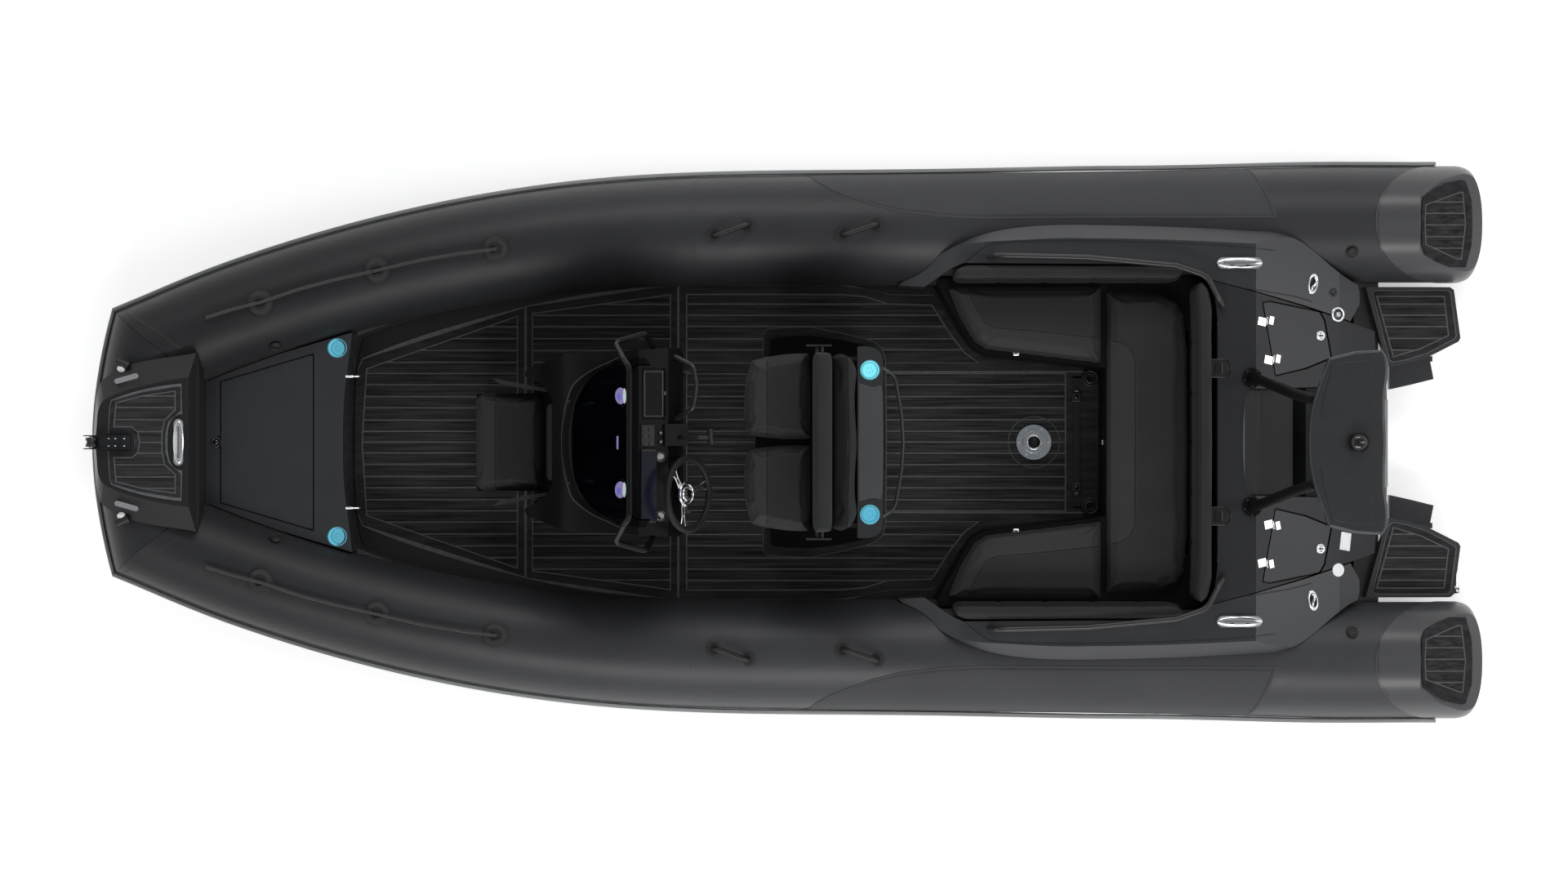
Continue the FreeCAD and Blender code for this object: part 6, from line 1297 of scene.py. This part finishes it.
# screws in the table base
tx = P(1266, 541.5, 80).x
for k in range(6):
    a = math.tau * k / 6
    ck.lathe(Matrix.Translation((tx + 0.069 * math.cos(a), 0.069 * math.sin(a), 0.0757)), [(0.0048, 0), (0.0046, 0.0012), (0.0022, 0.0016), (0.0004, 0.0006)], 0, 16)
ck.lathe(Matrix.Translation((tx, 0, 0.0757)), [(0.0500, 0.0), (0.0520, 0.0018), (0.0540, 0.0)], 0, 56, close=False)
ck.lathe(Matrix.Translation((tx, 0, 0.098)), [(0.0285, -0.022), (0.0285, 0.0004), (0.0300, 0.0016), (0.0350, 0.0016), (0.0365, 0.0002)], 0, 56, close=False)
ck.lathe(Matrix.Translation((tx, 0, 0.0735)), [(0.0284, 0.0), (0.0284, 0.0006), (0.0005, 0.0006)], 1, 40)
ck.make("cockpit_hardware", [G["steel"], G["dark"]], slot="stainless")
rg = Shape()
rg.lathe(Matrix.Translation((P(1266, 541.5, 68).x, 0, 0.0672)), [(0.1205, 0.0), (0.1205, 0.0016), (0.1240, 0.0016), (0.1240, 0.0)], 0, 96, close=False)
rg.make("table_ring_line", [G["caulk"]], slot="foam_decking")
# post sockets: a stepped ring round each bore
rg = Shape()
for sg in (-1, 1):
    m4 = Matrix.Translation(Vector((-1.455213, 0.304398 * sg, 0.094)))
    rg.lathe(m4, [(0.0156, -0.004), (0.0156, 0.0010), (0.0175, 0.0024), (0.0235, 0.0024), (0.0250, 0.0006), (0.0300, 0.0004), (0.0320, 0.0020), (0.0380, 0.0018), (0.0398, -0.001)], 0, 48, close=False)
rg.make("post_rings", [G["dark"]], slot="dark_trim")
# end clips of the latch bar across the hatch
rg = Shape()
x0_, x1_ = P(1318, 541.5, 76).x, P(1318, 541.5, 76).x
for sg in (-1, 1):
    c = Vector((P(1318, 541.5, 78).x, 0.215 * sg, 0.0758))
    rg.block(Matrix.Translation(c), 0.040, 0.044, 0.0080, 0.003, 0, 2)
    rg.lathe(Matrix.Translation(c + Vector((0, 0, 0.0078))), [(0.010, 0), (0.0095, 0.0022), (0.0004, 0.0028)], 1, 24)
    rg.block(Matrix.Translation(c + Vector((0, 0.033 * sg, 0))), 0.020, 0.016, 0.0050, 0.002, 1, 2)
rg.make("hatch_bar_clips", [G["dark"], G["steel_dark"]], slot="dark_trim")
# finger hole of the bow locker lid
bl = Shape()
c = P(264.0, 541.5, 460)
bl.lathe(Matrix.Translation(Vector((c.x, 0, 0.460))), [(0.0150, -0.0006), (0.0155, 0.0012), (0.0215, 0.0016), (0.0240, 0.0002)], 0, 40, close=False)
bl.lathe(Matrix.Translation(Vector((c.x, 0, 0.4594))), [(0.0152, 0.0), (0.0152, 0.0009), (0.0005, 0.0009)], 1, 32)
bl.make("locker_pull", [G["steel_dark"], G["gloss"]], slot="dark_trim")

# ------------------------------------------------------------------ helm seat plinth and shelf top
hp = Shape()
q = both([(934.8, 541.5), (934.8, 411), (936.6, 405.8), (941.5, 402.9), (967, 401.4), (993, 401.0), (1030, 408.2), (1060, 415.6), (1072, 420.0),
          (1080, 427.5), (1084, 441), (1085, 541.5)])
qi = both([(943.5, 541.5), (943.5, 421), (945, 416.5), (949, 413.8), (970, 412), (993, 411.5), (1030, 416), (1056, 422), (1068, 427), (1074, 434), (1076, 541.5)])
hp.plate([grow(q, -0.2)], 66.2, 72.0, 2)
# the block inside the plinth is near-black: partly a dark plinth, partly painted shade where the seat base shades the
# deck
hp.plate([qi], 72.0, 106.0, 0)
hp.plate([grow(q, 0.9), grow(q, -0.1)], 66.0, 68.6, 1)
hp.make("helm_plinth", [G["black"], G["caulk"], G["plank2"]], bevel=0.003, slot="console_shell")
hl = Shape()
for y in (455.9, 1083.0 - 455.9):
    hl.plate([[(845.5, y - 0.75), (925.0, y - 0.75), (925.0, y + 0.75), (845.5, y + 0.75)]], Z1 - 0.6, Z1 + 0.5, 0)
hl.make("hatch_seam_lines", [G["black"]], slot="foam_decking")
hs = Shape()
q = both([(1051.5, 541.5), (1051.5, 469.5), (1058, 471.0), (1065, 473.5), (1072, 473.8), (1078.5, 471.5), (1080.4, 480), (1081.0, 541.5)])
hs.plate([q], 949.4, 951.4, 0)
hs.make("shelf_panel", [G["shelf"]], bevel=0.0012, slot="console_shell")

# ------------------------------------------------------------------ bow fittings
bw = Shape()
loc, nor = hit(218.5, 541.5, "cleats", "bow_pad", "bow_platform")
m4 = Matrix.Translation((loc.x, 0, max(loc.z, 0.8062) - 0.0005)) @ Matrix.Diagonal((1.0, 3.75, 1.0, 1.0))
bw.lathe(m4, [(0.0262, -0.004), (0.0265, 0.0015), (0.0250, 0.0045), (0.0215, 0.0072), (0.0120, 0.0102), (0.0005, 0.0110)], 0, 48)
m4 = Matrix.Translation((loc.x, 0, max(loc.z, 0.8062)))
bw.block(m4 @ Matrix.Translation((0, 0, 0.0065)), 0.0036, 0.150, 0.0062, 0.0015, 1)
for k in (-1, 1):
    bw.lathe(m4 @ Matrix.Translation((0, 0.074 * k, 0.003)), [(0.0042, 0), (0.0042, 0.003), (0.003, 0.0042), (0.0005, 0.0045)], 0, 14)
for mm in (lambda q: q, M):
    (bx, by), = mm([(149.2, 451.5)])
    loc, nor = hit(bx, by, "nav_lights", "bow_platform", "tube_bow", "tube_starboard", "tube_port")
    m4 = Matrix.Translation(loc)
    bw.lathe(m4, [(0.0205, -0.006), (0.0205, 0.004), (0.0180, 0.0075)], 0, 28, close=False)
    bw.lathe(m4 @ Matrix.Translation((0, 0, 0.004)), [(0.0182, 0), (0.0178, 0.006), (0.0150, 0.0120), (0.0090, 0.0165), (0.0005, 0.0180)], 2, 28)
bw.make("bow_fittings", [G["steel"], G["dark"], G["white"]], slot="stainless")

# rings on the rope patches, clips that hold the line, and air valves
pt = Shape()
for mm in (lambda q: q, M):
    for px, py in mm([(318.5, 371.0), (461.5, 331.0), (606.5, 304.5)]):
        loc, nor = hit(px, py, "tube_patches")
        m4 = frame_at(loc, nor, (1, 0.2, 0))
        pt.lathe(m4, [(0.0560, -0.003), (0.0560, 0.0008), (0.0545, 0.0022), (0.0525, 0.0022), (0.0510, 0.0006)], 0, 64, close=False)
        pt.lathe(m4, [(0.0300, -0.001), (0.0300, 0.0030), (0.0270, 0.0055), (0.0215, 0.0060), (0.0195, 0.0040), (0.0195, -0.001)], 1, 48, close=False)
        for k in (-1, 1):
            pt.block(m4 @ Matrix.Translation((0, 0.020 * k, 0.001)), 0.030, 0.011, 0.0085, 0.003, 1, 3)
    for px, py in mm([(337.0, 424.8), (1656.0, 309.8)]):
        loc, nor = hit(px, py, "tube_patches")
        m4 = frame_at(loc, nor, (1, 0.2, 0))
        pt.lathe(m4, [(0.0265, -0.004), (0.0265, 0.0024), (0.0240, 0.0044), (0.0190, 0.0044), (0.0178, 0.0020), (0.0178, 0.0004)], 1, 48, close=False)
        pt.lathe(m4, [(0.0179, 0.0006), (0.0179, 0.0030), (0.0150, 0.0046), (0.0005, 0.0048)], 0, 40)
        pt.block(m4 @ Matrix.Translation((0, 0, 0.0044)), 0.0240, 0.0052, 0.0040, 0.0014, 1, 2)
        for k in range(10):
            a = math.tau * k / 10
            pt.lathe(m4 @ Matrix.Translation((0.0222 * math.cos(a), 0.0222 * math.sin(a), 0.0040)), [(0.0018, 0), (0.0016, 0.0010), (0.0004, 0.0012)], 0, 8)
pt.make("patch_rings", [G["patch"], G["dark"]], slot="patch_rubber")

# violet strip inside the screen, helm seat base trim and the transom's edge
loc, nor = hit(757.0, 542.0, "console", "windshield")
st = Shape()
st.block(frame_at(loc, nor, (1, 0, 0)) @ Matrix.Translation((0, 0, -0.001)), 0.017, 0.064, 0.0045, 0.002, 0, 2)
st.block(frame_at(loc, nor, (1, 0, 0)) @ Matrix.Translation((0, 0, 0.0030)), 0.011, 0.057, 0.0022, 0.001, 1, 2)
st.make("console_strip", [G["gloss"], G["strip"]], slot="lamp_housing")
for side, mm in (("starboard", lambda q: q), ("port", M)):
    groove("helm_base_trim_" + side, mm([(1079, 436), (1069, 420), (1040, 411.5), (993, 402.8), (945, 404.0), (937, 411), (936.4, 432)]),
           ["helm_seat_base", "helm_rail"], 0.0045, 0.0014, m="grey_trim_and_highlight")
    groove("cap_ring_line_" + side, mm([(1700, 231), (1691, 246), (1688, 262), (1688, 284), (1691, 303), (1699, 322)]),
           ["tube_cap_" + side, "tube_" + side], 0.0040, 0.0012, m="grey_trim_and_highlight")
    groove("bow_seam_" + side, mm([(153, 381), (170, 392), (188, 404), (205, 415.5), (222, 428)]), ["tube_bow", "tube_" + side], 0.0120, 0.0010, m="seam", n=4)
    groove("bow_edge_line_" + side, mm([(247.5, 463.5), (300, 446.5), (350, 430.5), (400, 414.5), (428, 405.0)]), ["bow_locker", "hull"], 0.0040, 0.0010, m="joint", n=2)
foot = [(759.0, 437.0), (744.6, 444.0), (725.7, 452.7), (710.9, 462.9), (700.8, 473.0), (696.2, 485.1), (691.5, 503.6), (688.4, 524.0), (687.8, 541.5)]
foot_in = [(758.0, 441.0), (746.0, 448.0), (728.5, 456.7), (714.9, 466.4), (705.8, 476.0), (701.2, 487.1), (696.7, 504.6), (693.6, 524.0), (693.0, 541.5)]
groove("screen_foot_line", both(foot), ["console", "windshield"], 0.0042, 0.0018, m="grey_trim_and_highlight", n=3)
groove("screen_foot_gasket", both(foot_in), ["console", "windshield"], 0.0260, 0.0010, m="black", n=3)
groove("glovebox_edge_line", [(789.2, 455.0), (811.3, 455.0), (811.3, 482.0), (811.3, 509.5), (789.2, 509.5), (789.2, 482.0)], ["glovebox_lid"], 0.0034, 0.0012, m="grey_trim_and_highlight",
       closed=True, n=1, body="glovebox_lid")
groove("transom_edge", [(1698.4, 488), (1698.4, 515), (1698.4, 541.5), (1698.4, 568), (1698.4, 595)], ["hull", "splash_well", "stern_deck"], 0.0120, 0.0016, m="strake", n=2)

# bracket at the stem: side cheeks and pin, and bolt heads on the bracket
an = Shape()
a0, a1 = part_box("anchor_roller")
ac = (a0 + a1) / 2
for k in (-1, 1):
    an.lathe(Matrix.Translation((ac.x, (a1.y + 0.0012) * k if k > 0 else a0.y - 0.0012, ac.z)) @ Matrix.Rotation(math.radians(90), 4, "X"),
             [(0.0110, -0.0024), (0.0115, 0.0), (0.0110, 0.0024), (0.0005, 0.0028)], 0, 24)
b0, b1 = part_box("anchor_bracket")
for x_ in (0.25, 0.60, 0.86):
    xx = b0.x + (b1.x - b0.x) * x_ * 0.55
    for k in (-1, 1):
        loc, nor = hit(541.5 * 0 + 0, 0, "anchor_bracket") if False else (Vector((xx, 0.018 * k, 0)), Vector((0, 0, 1)))
        t_ = tree("anchor_bracket").ray_cast(Vector((xx, 0.018 * k, 3.0)), Vector((0, 0, -1)))
        if t_[0] is not None:
            an.lathe(Matrix.Translation(t_[0]), [(0.0055, -0.001), (0.0052, 0.0018), (0.0030, 0.0032), (0.0004, 0.0034)], 0, 16)
an.make("anchor_hardware", [G["steel"]], slot="stainless")
